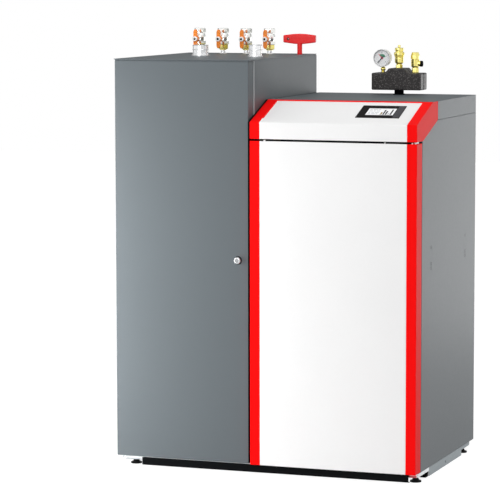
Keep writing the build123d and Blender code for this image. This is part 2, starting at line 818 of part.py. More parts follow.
# Heat exchanger: fire tubes in water above, the combustion chamber below them,
# a side passage for the cooled gas and the ash compartment at the foot
fire_tube_radius = 28.0
fire_tube_wall = 3.0
tube_columns = 4
tube_rows = 3
tube_pitch_x = 105.0
tube_pitch_y = 125.0
mouth_half = 140.0
mouth_rise = 40.0
mouth_height = 280.0
ash_side = 36.0
ash_lintel = 16.0
leg_side = 40.0
grate_hole_radius = 32.0
fan_height = 560.0
fan_eye = 45.0
riser_inset = 265.5
riser_radius = 16.8
riser_wall = 3.0
riser_drop = 50.0
room_x = shrink(shell_x, shell_wall)
room_y = shrink(shell_y, shell_wall)
partition_middle = boiler_middle + tube_pitch_x
partition = (partition_middle - shell_wall / 2, partition_middle + shell_wall / 2)
chamber_middle = (room_x[0] + partition[0]) / 2
mouth_x = (chamber_middle - mouth_half, chamber_middle + mouth_half)
mouth_z = (grate_z + mouth_rise, grate_z + mouth_rise + mouth_height)
ash_mouth_x = shrink(shell_x, ash_side)
ash_mouth_z = (shell_z[0] + shell_wall, grate_z - ash_lintel)
fan = ((partition[1] + room_x[1]) / 2, base_top + fan_height)
riser = (boiler_right - riser_inset, return_header[0])
bend_z = upper_plate_z - riser_drop
front_wall = (shell_y[0] - past, room_y[0] + past)
back_wall = (room_y[1] - past, shell_y[1] + past)

boiler_shell = slab(shell_x, shell_y, shell_z)
boiler_shell -= slab(room_x, room_y, (upper_plate_z + shell_wall, shell_z[1] - shell_wall))
boiler_shell -= slab(room_x, room_y, (lower_plate_z + shell_wall, upper_plate_z))
boiler_shell -= slab((room_x[0], partition[0]), room_y, (grate_z + shell_wall, lower_plate_z))
boiler_shell -= slab((partition[1], room_x[1]), room_y, (grate_z + shell_wall, lower_plate_z))
boiler_shell -= slab(room_x, room_y, (shell_z[0] + shell_wall, grate_z))
boiler_shell -= slab(mouth_x, front_wall, mouth_z)
boiler_shell -= slab(ash_mouth_x, front_wall, ash_mouth_z)
shell_middle_y = (shell_y[0] + shell_y[1]) / 2
tube_places = [
    (
        boiler_middle + (column - (tube_columns - 1) / 2) * tube_pitch_x,
        shell_middle_y + (row - (tube_rows - 1) / 2) * tube_pitch_y,
    )
    for column in range(tube_columns)
    for row in range(tube_rows)
]
tube_z = (lower_plate_z, upper_plate_z + shell_wall)
for place in tube_places:
    boiler_shell += upright(fire_tube_radius, place, tube_z)
for place in tube_places:
    boiler_shell -= upright(fire_tube_radius - fire_tube_wall, place, shrink(tube_z, -past))
boiler_shell -= upright(grate_hole_radius, bowl, (grate_z - past, grate_z + shell_wall + past))
boiler_shell -= crosswise(
    screw_tube_radius + touch_gap,
    (shell_x[0] - past, room_x[0] + past),
    screw_y,
    screw_z,
)
for port_x, port_z, radius in (
    (flow_port_x, flow_header[1], port_radius - port_wall),
    (pump_x, pump_z, port_radius - port_wall),
    (riser[0], bend_z, riser_radius - riser_wall),
    (*fan, fan_eye),
):
    boiler_shell -= lengthwise(radius, port_x, port_z, back_wall)
for leg_x in (shell_x[0], shell_x[1] - leg_side):
    for bearer_start in bearer_starts:
        leg_y = (bearer_start, bearer_start + leg_side)
        boiler_shell += slab((leg_x, leg_x + leg_side), leg_y, (base_top, shell_z[0]))
save("boiler_shell", boiler_shell)

# Insulation over the sides and the top of the heat exchanger
insulation_thickness = 28.0
wrap_x = shrink(shell_x, -insulation_thickness)
hollow_z = (grate_z - past, shell_z[1] + touch_gap)
insulation = slab(wrap_x, shell_y, (grate_z, shell_z[1] + insulation_thickness))
insulation -= slab(shrink(shell_x, -touch_gap), shrink(shell_y, -past), hollow_z)
tube_cut = (wrap_x[0] - past, shell_x[0] + past)
insulation -= crosswise(screw_tube_radius + touch_gap, tube_cut, screw_y, screw_z)
save("boiler_insulation", insulation)

# Inner door that closes the combustion chamber
chamber_door = 28.0
chamber_door_margin = 22.0
plug_depth = 24.0
plug_play = 6.0
grip_inset = 34.0
grip_radius = 8.0
grip_standoff = 26.0
grip_end = 76.0
post_radius = 6.0
post_end = 90.0
grip_x = mouth_x[0] + grip_inset
chamber_door_face = shell_y[0] - chamber_door
combustion_door = slab(
    shrink(mouth_x, -chamber_door_margin),
    (chamber_door_face, shell_y[0]),
    shrink(mouth_z, -chamber_door_margin),
)
combustion_door += slab(
    shrink(mouth_x, plug_play),
    (shell_y[0], shell_y[0] + plug_depth),
    shrink(mouth_z, plug_play),
)
grip_y = chamber_door_face - grip_standoff
for post_z in shrink(mouth_z, post_end):
    combustion_door += lengthwise(post_radius, grip_x, post_z, (grip_y, chamber_door_face))
combustion_door += upright(grip_radius, (grip_x, grip_y), shrink(mouth_z, grip_end))
save("combustion_door", combustion_door)

# Ash box in the compartment under the chamber
ash_wall = 2.0
ash_play = 5.0
ash_head_play = 6.0
ash_front = 12.0
ash_rear_gap = 40.0
ash_grip_half = 72.0
ash_post_half = 60.0
ash_grip_radius = 7.0
ash_post_radius = 5.0
ash_grip_standoff = 28.0
ash_x = shrink(ash_mouth_x, ash_play)
ash_y = (shell_y[0] - ash_front, shell_y[1] - ash_rear_gap)
ash_z = (ash_mouth_z[0], ash_mouth_z[1] - ash_head_play)
ash_grip_y = ash_y[0] - ash_grip_standoff
ash_grip_z = (ash_z[0] + ash_z[1]) / 2
ash_box = slab(ash_x, ash_y, ash_z)
ash_box -= slab(shrink(ash_x, ash_wall), shrink(ash_y, ash_wall), (ash_z[0] + ash_wall, ash_z[1] + past))
for post_x in (boiler_middle - ash_post_half, boiler_middle + ash_post_half):
    ash_box += lengthwise(ash_post_radius, post_x, ash_grip_z, (ash_grip_y, ash_y[0] + past))
ash_grip_x = (boiler_middle - ash_grip_half, boiler_middle + ash_grip_half)
ash_box += crosswise(ash_grip_radius, ash_grip_x, ash_grip_y, ash_grip_z)
save("ash_box", ash_box)

# Burner bowl that the pellets drop into
bowl_height = 70.0
bowl_wall = 4.0
air_hole_count = 10
air_hole_radius = 3.0
air_hole_rise = 30.0
ash_hole_radius = 12.0
bowl_z = (grate_z + shell_wall, grate_z + shell_wall + bowl_height)
burner_bowl = upright(bowl_radius, bowl, bowl_z)
burner_bowl -= upright(bowl_radius - bowl_wall, bowl, (bowl_z[0] + bowl_wall, bowl_z[1] + past))
burner_bowl -= upright(ash_hole_radius, bowl, (bowl_z[0] - past, bowl_z[0] + bowl_wall + past))
air_hole = crosswise(air_hole_radius, (bowl_radius - bowl_wall - past, bowl_radius + past), 0.0, 0.0)
for number in range(air_hole_count):
    turn = Rot(0, 0, 360.0 / air_hole_count * number)
    burner_bowl -= Pos(*bowl, bowl_z[0] + air_hole_rise) * turn * air_hole
save("burner_bowl", burner_bowl)

# Flue gas fan behind the heat exchanger, with the flue spigot through the rear panel
flue_radius = 65.0
flue_wall = 2.0
flue_step = 1.5
flue_stop = 3.0
flue_shift = 200.0
fan_side = 88.0
flue_side = 76.0
fan_box_gap = 26.0
fan_box_wall = 3.0
fan_shaft_radius = 5.0
fan_shaft_play = 1.0
flue_sleeve = flue_radius + flue_step
flue_x = fan[0] - flue_shift
fan_box_x = (flue_x - flue_side, fan[0] + fan_side)
fan_box_y = (shell_y[1], boiler_back - fan_box_gap)
fan_box_z = (fan[1] - fan_side, fan[1] + fan_side)
fan_box_back = (fan_box_y[1] - fan_box_wall - past, fan_box_y[1] + past)
fan_housing = slab(fan_box_x, fan_box_y, fan_box_z)
fan_housing -= slab(
    shrink(fan_box_x, fan_box_wall),
    shrink(fan_box_y, fan_box_wall),
    shrink(fan_box_z, fan_box_wall),
)
fan_housing -= lengthwise(fan_eye, *fan, (fan_box_y[0] - past, fan_box_y[0] + fan_box_wall + past))
flue_end = boiler_back + flue_reach
fan_housing += lengthwise(flue_radius, flue_x, fan[1], (fan_box_y[1] - fan_box_wall, flue_end))
fan_housing += lengthwise(flue_sleeve, flue_x, fan[1], (fan_box_y[1] - fan_box_wall, boiler_back + flue_stop))
fan_housing -= lengthwise(flue_radius - flue_wall, flue_x, fan[1], (fan_box_back[0], flue_end + past))
fan_housing -= lengthwise(fan_shaft_radius + fan_shaft_play, *fan, fan_box_back)
save("flue_fan_housing", fan_housing)

fan_motor_radius = 42.0
fan_motor_reach = 34.0
fan_shaft_grip = 20.0
fan_motor = lengthwise(fan_motor_radius, *fan, (fan_box_y[1], boiler_back + fan_motor_reach))
fan_motor -= lengthwise(
    fan_shaft_radius + pin_play,
    *fan,
    (fan_box_y[1] - past, fan_box_y[1] + fan_shaft_grip + past),
)
save("flue_fan_motor", fan_motor)

wheel_radius = 76.0
wheel_front = 14.0
wheel_rear = 12.0
wheel_disc = 2.0
wheel_hub = 14.0
wheel_hub_front = 10.0
wheel_blades = 12
wheel_blade_inner = 28.0
wheel_y = (fan_box_y[0] + wheel_front, fan_box_y[1] - wheel_rear)
fan_wheel = lengthwise(wheel_radius, *fan, (wheel_y[1] - wheel_disc, wheel_y[1]))
fan_wheel += lengthwise(wheel_hub, *fan, (wheel_y[0] + wheel_hub_front, wheel_y[1]))
fan_wheel += lengthwise(fan_shaft_radius, *fan, (wheel_y[1] - wheel_disc, fan_box_y[1] + fan_shaft_grip))
wheel_blade = slab(
    (wheel_blade_inner, wheel_radius - past),
    (wheel_y[0], wheel_y[1] - wheel_disc / 2),
    (-blade_thickness / 2, blade_thickness / 2),
)
for number in range(wheel_blades):
    fan_wheel += Pos(fan[0], 0, fan[1]) * Rot(0, 360.0 / wheel_blades * number, 0) * wheel_blade
save("flue_fan_impeller", fan_wheel)

# Hood over the front: a red frame around a white sloping panel
hood_sheet = 2.0
cheek_foot_back = 72.0
return_depth = 22.0
rear_fold = 18.0
band_fold = 14.0
kink_z = boiler_top - kink_drop
slope_top_y = boiler_front + slope_depth
hood_rear = boiler_front + hood_depth
cheek_foot = boiler_front + cheek_foot_back
slope_angle = math.atan2(boiler_top - kink_z, slope_top_y - boiler_front)
hood_front = boiler_front + hood_sheet
window_x = (boiler_left + trim_width, boiler_right - trim_width)


def slope_z(y, drop=0.0):
    """Height of the hood's slope at a depth, lowered squarely by a drop."""
    return kink_z + (y - boiler_front) * math.tan(slope_angle) - drop / math.cos(slope_angle)


hood_outline = [
    (boiler_front, hood_bottom),
    (boiler_front, kink_z),
    (slope_top_y, boiler_top),
    (hood_rear, boiler_top),
    (hood_rear, lid_bottom),
    (cheek_foot, hood_bottom),
]
hollow_outline = [
    (hood_front, hood_bottom - past),
    (hood_front, slope_z(hood_front, hood_sheet)),
    (slope_top_y + hood_sheet * math.tan(slope_angle / 2), boiler_top - hood_sheet),
    (hood_rear + past, boiler_top - hood_sheet),
    (hood_rear + past, hood_bottom - past),
]
return_outline = [
    (hood_front, hood_bottom),
    (hood_front, slope_z(hood_front, hood_sheet)),
    (slope_top_y, slope_z(slope_top_y, hood_sheet)),
    (slope_top_y, slope_z(slope_top_y, return_depth)),
    (hood_front + return_depth, slope_z(hood_front + return_depth, return_depth)),
    (hood_front + return_depth, hood_bottom),
]
hood_frame = side_profile(hood_outline, (boiler_left, boiler_right))
hood_frame -= side_profile(hollow_outline, (boiler_left + hood_sheet, boiler_right - hood_sheet))
hood_frame -= slab(window_x, (boiler_front - past, slope_top_y), (hood_bottom - past, boiler_top + past))
hood_frame += side_profile(return_outline, (window_x[0] - hood_sheet, window_x[0]))
hood_frame += side_profile(return_outline, (window_x[1], window_x[1] + hood_sheet))
hood_frame += slab(
    (boiler_left, boiler_right),
    (hood_rear - hood_sheet, hood_rear),
    (boiler_top - rear_fold, boiler_top),
)
hood_frame += slab(
    shrink(window_x, -hood_sheet),
    (slope_top_y, slope_top_y + hood_sheet),
    (boiler_top - band_fold, boiler_top),
)
save("hood_frame", hood_frame)

# White panel between the cheeks, set back above its lower fold
fold_over = 34.0
set_back = 4.0
step_run = 6.0
panel_end = slope_top_y - touch_gap
fold_end = boiler_front + fold_over
step_end = fold_end + step_run
panel_outline = [
    (boiler_front, hood_bottom),
    (boiler_front, kink_z),
    (fold_end, slope_z(fold_end)),
    (step_end, slope_z(step_end, set_back)),
    (panel_end, slope_z(panel_end, set_back)),
    (panel_end, slope_z(panel_end, set_back + hood_sheet)),
    (step_end, slope_z(step_end, set_back + hood_sheet)),
    (fold_end, slope_z(fold_end, hood_sheet)),
    (hood_front, slope_z(hood_front, hood_sheet)),
    (hood_front, hood_bottom + hood_sheet),
    (hood_front + return_depth, hood_bottom + hood_sheet),
    (hood_front + return_depth, hood_bottom),
]
hood_panel = side_profile(panel_outline, shrink(window_x, touch_gap))

# Display in the slope, with the control board's box behind it
display_width = 154.0
display_height = 104.0
display_inset = 159.0
display_back = 109.0
bezel_thickness = 12.0
bezel_proud = 1.5
bezel_rim = 8.0
screen_width = 98.0
screen_height = 58.0
glass_thickness = 2.0
glass_inset = 0.6
control_depth = 26.0
control_side = 3.0
control_margin = 20.0
display_y = boiler_front + display_back
display_plane = Plane(
    origin=(boiler_right - display_inset, display_y, slope_z(display_y, set_back)),
    x_dir=(1, 0, 0),
    z_dir=(0, -math.sin(slope_angle), math.cos(slope_angle)),
)


def on_slope(width, height, low, high):
    """A block square to the slope, between two heights above the white panel."""
    block = Box(width, height, high - low, align=(Align.CENTER, Align.CENTER, Align.MIN))
    return display_plane * Pos(0, 0, low) * block


body_width = display_width - 2 * bezel_rim
body_height = display_height - 2 * bezel_rim
glass_low = bezel_proud - glass_inset - glass_thickness
hood_panel -= on_slope(
    body_width + 2 * touch_gap,
    body_height + 2 * touch_gap,
    -2 * hood_sheet,
    hood_sheet,
)
save("hood_panel", hood_panel)

display_bezel = on_slope(display_width, display_height, 0.0, bezel_proud)
display_bezel += on_slope(body_width, body_height, -bezel_thickness, 0.0)
display_bezel -= on_slope(screen_width, screen_height, glass_low, bezel_proud + past)
save("display_bezel", display_bezel)
glass_width = screen_width - 2 * touch_gap
glass_height = screen_height - 2 * touch_gap
save("display_glass", on_slope(glass_width, glass_height, glass_low, glass_low + glass_thickness))
control_box = on_slope(
    body_width - 2 * control_side,
    body_height + 2 * control_margin,
    -bezel_thickness - control_depth,
    -bezel_thickness,
)
save("control_box", control_box)

# Boiler cabinet walls, whose tops follow the hood's cheeks
wall_top = lid_bottom - seam
wall_step = hood_bottom - seam
side_outline = [
    (boiler_panel_front, base_top),
    (boiler_back, base_top),
    (boiler_back, wall_top),
    (hood_rear, wall_top),
    (cheek_foot, wall_step),
    (boiler_panel_front, wall_step),
]


def boiler_side(outer_x, inward):
    """A boiler side wall with its folded flanges."""
    fold = outward(outer_x, inward, flange)
    fold_y = (boiler_panel_front, boiler_back - sheet)
    wall = side_profile(side_outline, outward(outer_x, inward, sheet))
    wall += slab(fold, (fold_y[0], fold_y[0] + sheet), (base_top, wall_step))
    wall += slab(fold, (fold_y[1] - sheet, fold_y[1]), (base_top, wall_top))
    wall += slab(fold, (hood_rear, fold_y[1]), (wall_top - sheet, wall_top))
    return wall + slab(fold, fold_y, (base_top, base_top + sheet))


boiler_left_side_panel = boiler_side(boiler_left, 1)
boiler_left_side_panel -= passages((boiler_left - past, boiler_left + sheet + past))
save("boiler_left_side_panel", boiler_left_side_panel)
save("boiler_right_side_panel", boiler_side(boiler_right, -1))

# Rear panel with the cable gland
gland_inset = 90.0
gland_drop = 199.0
gland_radius = 10.0
gland_depth = 12.0
gland_flats = 26.0
gland_nut = 7.0
gland_neck_radius = 8.5
gland_reach = 20.0
gland_bore = 4.0
gland_x = boiler_right - gland_inset
gland_z = boiler_top - gland_drop
rear_sheet_y = (boiler_back - sheet, boiler_back)
boiler_rear_panel = slab(
    (boiler_left + sheet + touch_gap, boiler_right - sheet - touch_gap),
    rear_sheet_y,
    (base_top, wall_top),
)
for hole_x, hole_z, radius in (
    (flue_x, fan[1], flue_sleeve + touch_gap),
    (*fan, fan_motor_radius + touch_gap),
    (gland_x, gland_z, gland_radius + pin_play),
):
    boiler_rear_panel -= lengthwise(radius, hole_x, hole_z, shrink(rear_sheet_y, -past))
save("boiler_rear_panel", boiler_rear_panel)

gland_plane = Plane(origin=(gland_x, boiler_back, gland_z), x_dir=(1, 0, 0), z_dir=(0, 1, 0))
cable_gland = gland_plane * extrude(RegularPolygon(gland_flats / 2, 6, major_radius=False), amount=gland_nut)
cable_gland += lengthwise(gland_radius, gland_x, gland_z, (boiler_back - gland_depth, boiler_back))
cable_gland += lengthwise(gland_neck_radius, gland_x, gland_z, (boiler_back, boiler_back + gland_reach))
cable_gland -= lengthwise(
    gland_bore,
    gland_x,
    gland_z,
    (boiler_back - gland_depth - past, boiler_back + gland_reach + past),
)
save("cable_gland", cable_gland)

# Lid over the rest of the boiler, with ribs that stand on the side walls
lid_gap = 1.0
lid_fold = 18.0
rib_inset = 12.0
rib_end = 20.0
lid_x = (boiler_left, boiler_right)
lid_y = (hood_rear + lid_gap, boiler_back)
boiler_lid = slab(lid_x, lid_y, (lid_bottom, boiler_top))
boiler_lid -= slab(
    shrink(lid_x, sheet),
    (lid_y[0] - past, lid_y[1] - sheet),
    (lid_bottom - past, boiler_top - sheet),
)
boiler_lid += slab(lid_x, (lid_y[0], lid_y[0] + sheet), (boiler_top - lid_fold, boiler_top))
for rib_x in (boiler_left + rib_inset, boiler_right - rib_inset - sheet):
    boiler_lid += slab((rib_x, rib_x + sheet), shrink(lid_y, rib_end), (wall_top, boiler_top - sheet))
boiler_lid -= upright(riser_radius + touch_gap, riser, (boiler_top - sheet - past, boiler_top + past))
save("boiler_lid", boiler_lid)

# Boiler door: a white panel between two red edge trims
trim_return = 24.0
trim_cap = 3.0
door_y = (boiler_front, boiler_front + boiler_door_depth)


def door_trim(outer_x, inward):
    """A folded edge trim, closed at its top and foot."""
    span = outward(outer_x, inward, trim_width)
    trim = slab(outward(outer_x, inward, sheet), door_y, boiler_door_z)
    trim += slab(span, (door_y[0], door_y[0] + sheet), boiler_door_z)
    inner_edge = outward(outer_x + inward * (trim_width - sheet), inward, sheet)
    trim += slab(inner_edge, (door_y[0], door_y[0] + trim_return), boiler_door_z)
    trim += slab(span, door_y, (boiler_door_z[0], boiler_door_z[0] + trim_cap))
    return trim + slab(span, door_y, (boiler_door_z[1] - trim_cap, boiler_door_z[1]))


save("door_left_trim", door_trim(boiler_left, 1))
save("door_right_trim", with_bushes(door_trim(boiler_right, -1), boiler_hinge, boiler_door_z))
save("door_panel", tray(window_x, door_y, boiler_door_z))

# Safety group: a manifold on the riser pipe, with three ports
port_pitch = 60.0
manifold_rise = 56.0
manifold_radius = 15.0
manifold_end = 14.0
manifold_wall = 3.0
port_rise = 79.0
port_tube_radius = 11.0
manifold_z = boiler_top + manifold_rise
port_top = boiler_top + port_rise
port_x = [riser[0] - port_pitch, riser[0], riser[0] + port_pitch]
manifold_x = shrink((port_x[0], port_x[2]), -manifold_end)
manifold = upright(riser_radius, riser, (bend_z, manifold_z))
manifold += Pos(*riser, bend_z) * Sphere(riser_radius)
manifold += lengthwise(riser_radius, riser[0], bend_z, (shell_y[1], riser[1]))
manifold += crosswise(manifold_radius, manifold_x, riser[1], manifold_z)
for centre_x in port_x:
    manifold += upright(port_tube_radius, (centre_x, riser[1]), (manifold_z, port_top))
manifold -= upright(riser_radius - riser_wall, riser, (bend_z, manifold_z))
manifold -= lengthwise(riser_radius - riser_wall, riser[0], bend_z, (shell_y[1] - past, riser[1]))
manifold_hollow = shrink(manifold_x, manifold_wall)
manifold -= crosswise(manifold_radius - manifold_wall, manifold_hollow, riser[1], manifold_z)
save("safety_manifold", manifold)

# Moulded foam block around the manifold, in a front and a rear half
foam_half_width = 92.0
foam_half_depth = 40.0
foam_low = 17.0
foam_high = 78.0
foam_rise = 17.0
foam_shoulder = 43.0
foam_crown = 28.0
foam_corner = 5.0
port_hole_radius = 13.5
foam_x = (riser[0] - foam_half_width, riser[0] + foam_half_width)
foam_z = (boiler_top + foam_low, boiler_top + foam_high)
foam_top = foam_z[1] + foam_rise
foam_outline = Polyline(
    (foam_x[0], foam_z[0]),
    (foam_x[1], foam_z[0]),
    (foam_x[1], foam_z[1]),
    (riser[0] + foam_shoulder, foam_z[1]),
    (riser[0] + foam_crown, foam_top),
    (riser[0] - foam_crown, foam_top),
    (riser[0] - foam_shoulder, foam_z[1]),
    (foam_x[0], foam_z[1]),
    close=True,
)
foam_plane = Plane(origin=(0, riser[1] + foam_half_depth, 0), x_dir=(1, 0, 0), z_dir=(0, -1, 0))
foam = foam_plane * extrude(make_face(foam_outline), amount=2 * foam_half_depth)
foam = fillet(foam.edges().filter_by(Axis.Y), foam_corner)
foam -= upright(riser_radius + touch_gap, riser, (foam_z[0] - past, manifold_z))
foam -= crosswise(manifold_radius + touch_gap, shrink(manifold_x, -touch_gap), riser[1], manifold_z)
for centre_x in port_x:
    foam -= upright(port_hole_radius, (centre_x, riser[1]), (manifold_z, foam_top + past))
foam_span_z = (foam_z[0] - past, foam_top + past)
front_half = (riser[1] - foam_half_depth - past, riser[1] - touch_gap / 2)
rear_half = (riser[1] + touch_gap / 2, riser[1] + foam_half_depth + past)
foam_front = foam & slab(foam_x, front_half, foam_span_z)
foam_rear = foam & slab(foam_x, rear_half, foam_span_z)
save("insulation_block", foam_front, foam_rear)

# Pressure gauge
gauge_radius = 31.5
gauge_rise = 130.5
gauge_front = 21.0
gauge_rear = 12.0
gauge_stem_flats = 17.0
gauge_stem_overlap = 4.0
dial_recess = 5.0
gauge_rim = 2.5
arbor_radius = 1.0
arbor_depth = 5.0
pointer_gap = 1.0
pointer_thickness = 1.0
pointer_hub = 3.5
pointer_reach = 22.0
pointer_tail = 8.0
pointer_half_width = 0.8
pointer_rest = 228.0
gauge = (port_x[0], boiler_top + gauge_rise)
gauge_y = (riser[1] - gauge_front, riser[1] + gauge_rear)
dial_y = gauge_y[0] + dial_recess
gauge_case = lengthwise(gauge_radius, *gauge, gauge_y)
gauge_case -= lengthwise(gauge_radius - gauge_rim, *gauge, (gauge_y[0] - past, dial_y))
gauge_case += hexagon(
    gauge_stem_flats,
    (gauge[0], riser[1]),
    (port_top, gauge[1] - gauge_radius + gauge_stem_overlap),
)
gauge_case -= lengthwise(arbor_radius + pin_play, *gauge, (dial_y - past, dial_y + arbor_depth + past))
save("gauge_case", gauge_case)

pointer_y = (dial_y - pointer_gap - pointer_thickness, dial_y - pointer_gap)
pointer = lengthwise(pointer_hub, 0.0, 0.0, pointer_y)
pointer += slab((-pointer_tail, pointer_reach), pointer_y, (-pointer_half_width, pointer_half_width))
pointer += lengthwise(arbor_radius, 0.0, 0.0, (pointer_y[0], dial_y + arbor_depth))
save("gauge_pointer", Pos(gauge[0], 0, gauge[1]) * Rot(0, -pointer_rest, 0) * pointer)

# Automatic air vent
vent_flats = 22.0
vent_nut_height = 30.0
vent_radius = 17.0
vent_ring_radius = 21.5
vent_body_height = 28.0
vent_ring_height = 12.0
vent_top_height = 19.0
vent_stem_radius = 2.5
vent_stem_height = 6.0
vent_cap_radius = 5.2
vent_cap_height = 9.0
vent = (riser[0], riser[1])
vent_low = port_top + vent_nut_height
vent_ring_z = (vent_low + vent_body_height, vent_low + vent_body_height + vent_ring_height)
vent_top = vent_ring_z[1] + vent_top_height
vent_body = hexagon(vent_flats, vent, (port_top, vent_low))
vent_body += upright(vent_radius, vent, (vent_low, vent_top))
vent_body += upright(vent_ring_radius, vent, vent_ring_z)
vent_body += upright(vent_stem_radius, vent, (vent_top, vent_top + vent_stem_height))
save("air_vent_body", vent_body)
vent_cap = upright(vent_cap_radius, vent, (vent_top + touch_gap, vent_top + vent_cap_height))
vent_cap -= upright(vent_stem_radius + pin_play, vent, (vent_top, vent_top + vent_stem_height + touch_gap))
save("air_vent_cap", vent_cap)

# Safety valve with a twist cap and a side outlet
relief_flats = 26.0
relief_nut_height = 14.0
relief_radius = 14.5
relief_height = 48.5
relief_outlet_rise = 32.0
relief_outlet_radius = 11.0
relief_outlet_reach = 27.0
relief_bore = 7.5
relief_bore_start = 4.0
relief_stem_radius = 4.0
relief_stem_height = 18.0
relief_cap_flats = 30.0
relief_cap_sides = 8
relief_cap_height = 24.0
relief_cap_taper = 6.5
relief = (port_x[2], riser[1])
relief_top = port_top + relief_height
outlet_z = port_top + relief_outlet_rise
relief_body = hexagon(relief_flats, relief, (port_top, port_top + relief_nut_height))
relief_body += upright(relief_radius, relief, (port_top + relief_nut_height, relief_top))
outlet_end = relief[0] + relief_outlet_reach
relief_body += crosswise(relief_outlet_radius, (relief[0], outlet_end), relief[1], outlet_z)
relief_body -= crosswise(relief_bore, (relief[0] + relief_bore_start, outlet_end + past), relief[1], outlet_z)
relief_body += upright(relief_stem_radius, relief, (relief_top, relief_top + relief_stem_height))
save("safety_valve_body", relief_body)
relief_cap_outline = RegularPolygon(relief_cap_flats / 2, relief_cap_sides, major_radius=False)
relief_cap = extrude(relief_cap_outline, amount=relief_cap_height, taper=relief_cap_taper)
relief_cap = Pos(*relief, relief_top + touch_gap) * relief_cap
cap_bore = (relief_top, relief_top + relief_stem_height + past)
relief_cap -= upright(relief_stem_radius + pin_play, relief, cap_bore)
save("safety_valve_cap", relief_cap)
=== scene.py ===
# %% [markdown]
# # A pellet boiler and its pellet store
#
# This notebook dresses a heating appliance that was drawn in CAD first. The CAD solids come in as a fixed frame,
# in metres, and everything made here sits exactly where those solids are. The tall grey cabinet keeps the wood
# pellets, the lower one beside it burns them.

import json
import math

import bmesh
import bpy
from mathutils import Matrix, Vector


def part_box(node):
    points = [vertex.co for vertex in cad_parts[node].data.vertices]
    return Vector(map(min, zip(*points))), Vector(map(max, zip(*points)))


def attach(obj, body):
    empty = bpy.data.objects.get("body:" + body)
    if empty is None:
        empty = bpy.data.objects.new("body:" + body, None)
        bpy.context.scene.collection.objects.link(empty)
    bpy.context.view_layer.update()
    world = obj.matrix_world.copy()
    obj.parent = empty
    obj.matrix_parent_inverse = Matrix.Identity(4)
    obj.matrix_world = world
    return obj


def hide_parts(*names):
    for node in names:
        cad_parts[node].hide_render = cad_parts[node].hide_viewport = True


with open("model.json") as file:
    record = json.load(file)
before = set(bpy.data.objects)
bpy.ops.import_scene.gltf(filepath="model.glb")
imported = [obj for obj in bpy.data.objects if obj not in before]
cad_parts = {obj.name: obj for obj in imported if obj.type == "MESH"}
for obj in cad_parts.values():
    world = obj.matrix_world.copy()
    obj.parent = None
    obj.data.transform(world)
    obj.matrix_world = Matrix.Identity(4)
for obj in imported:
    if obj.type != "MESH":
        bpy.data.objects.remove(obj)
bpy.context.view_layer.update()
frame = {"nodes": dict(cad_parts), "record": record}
record = frame["record"]

# %% [markdown]
# ## The camera
#
# A catalogue picture of a cabinet is taken from far away with a long lens, so that upright edges stay nearly
# parallel. The camera stands almost nine metres off, to the right and a little above the lids, and looks slightly
# down. Yaw, pitch and roll turn it; no lens shift is needed.

# %% Place the camera
CAMERA_AT = (3.0065, -8.724, 1.729)
YAW, PITCH, ROLL = (math.radians(angle) for angle in (-20.118, -6.123, -0.092))
LENS = 188.13
ahead = Vector((math.sin(YAW) * math.cos(PITCH), math.cos(YAW) * math.cos(PITCH), math.sin(PITCH)))
level = Vector((math.cos(YAW), -math.sin(YAW), 0))
rise = level.cross(ahead)
right = level * math.cos(ROLL) + rise * math.sin(ROLL)
up = rise * math.cos(ROLL) - level * math.sin(ROLL)

camera = bpy.data.objects.new("camera", bpy.data.cameras.new("camera"))
camera.data.sensor_width = 36.0
camera.data.lens = LENS
camera.data.clip_end = 60.0
camera.matrix_world = Matrix.Translation(CAMERA_AT) @ Matrix((right, up, -ahead)).transposed().to_4x4()
bpy.context.scene.collection.objects.link(camera)
bpy.context.scene.camera = camera
bpy.context.scene.view_settings.view_transform = "Standard"
print("camera looks along", [round(value, 3) for value in ahead])

# %% [markdown]
# ## Shader maths as plain expressions
#
# A finish is a small network of nodes. Written out link by link it is hard to read, so a wire is wrapped in a
# class on which plus and times add the Math node. Every other node comes from one method that takes the
# node's type, its settings and what goes into its sockets.


# %% A wire and a finish
class Wire:
    """What comes out of a shader node. Arithmetic on it adds Math nodes."""

    def __init__(self, finish, socket):
        self.finish = finish
        self.socket = socket

    def math(self, operation, first, second):
        return self.finish.node("ShaderNodeMath", {"operation": operation}, {0: first, 1: second})

    def __add__(self, other):
        return self.math("ADD", self, other)

    def __mul__(self, other):
        return self.math("MULTIPLY", self, other)

    def __gt__(self, other):
        return self.math("GREATER_THAN", self, other)

    def most(self, other):
        return self.math("MAXIMUM", self, other)

    __radd__ = __add__
    __rmul__ = __mul__


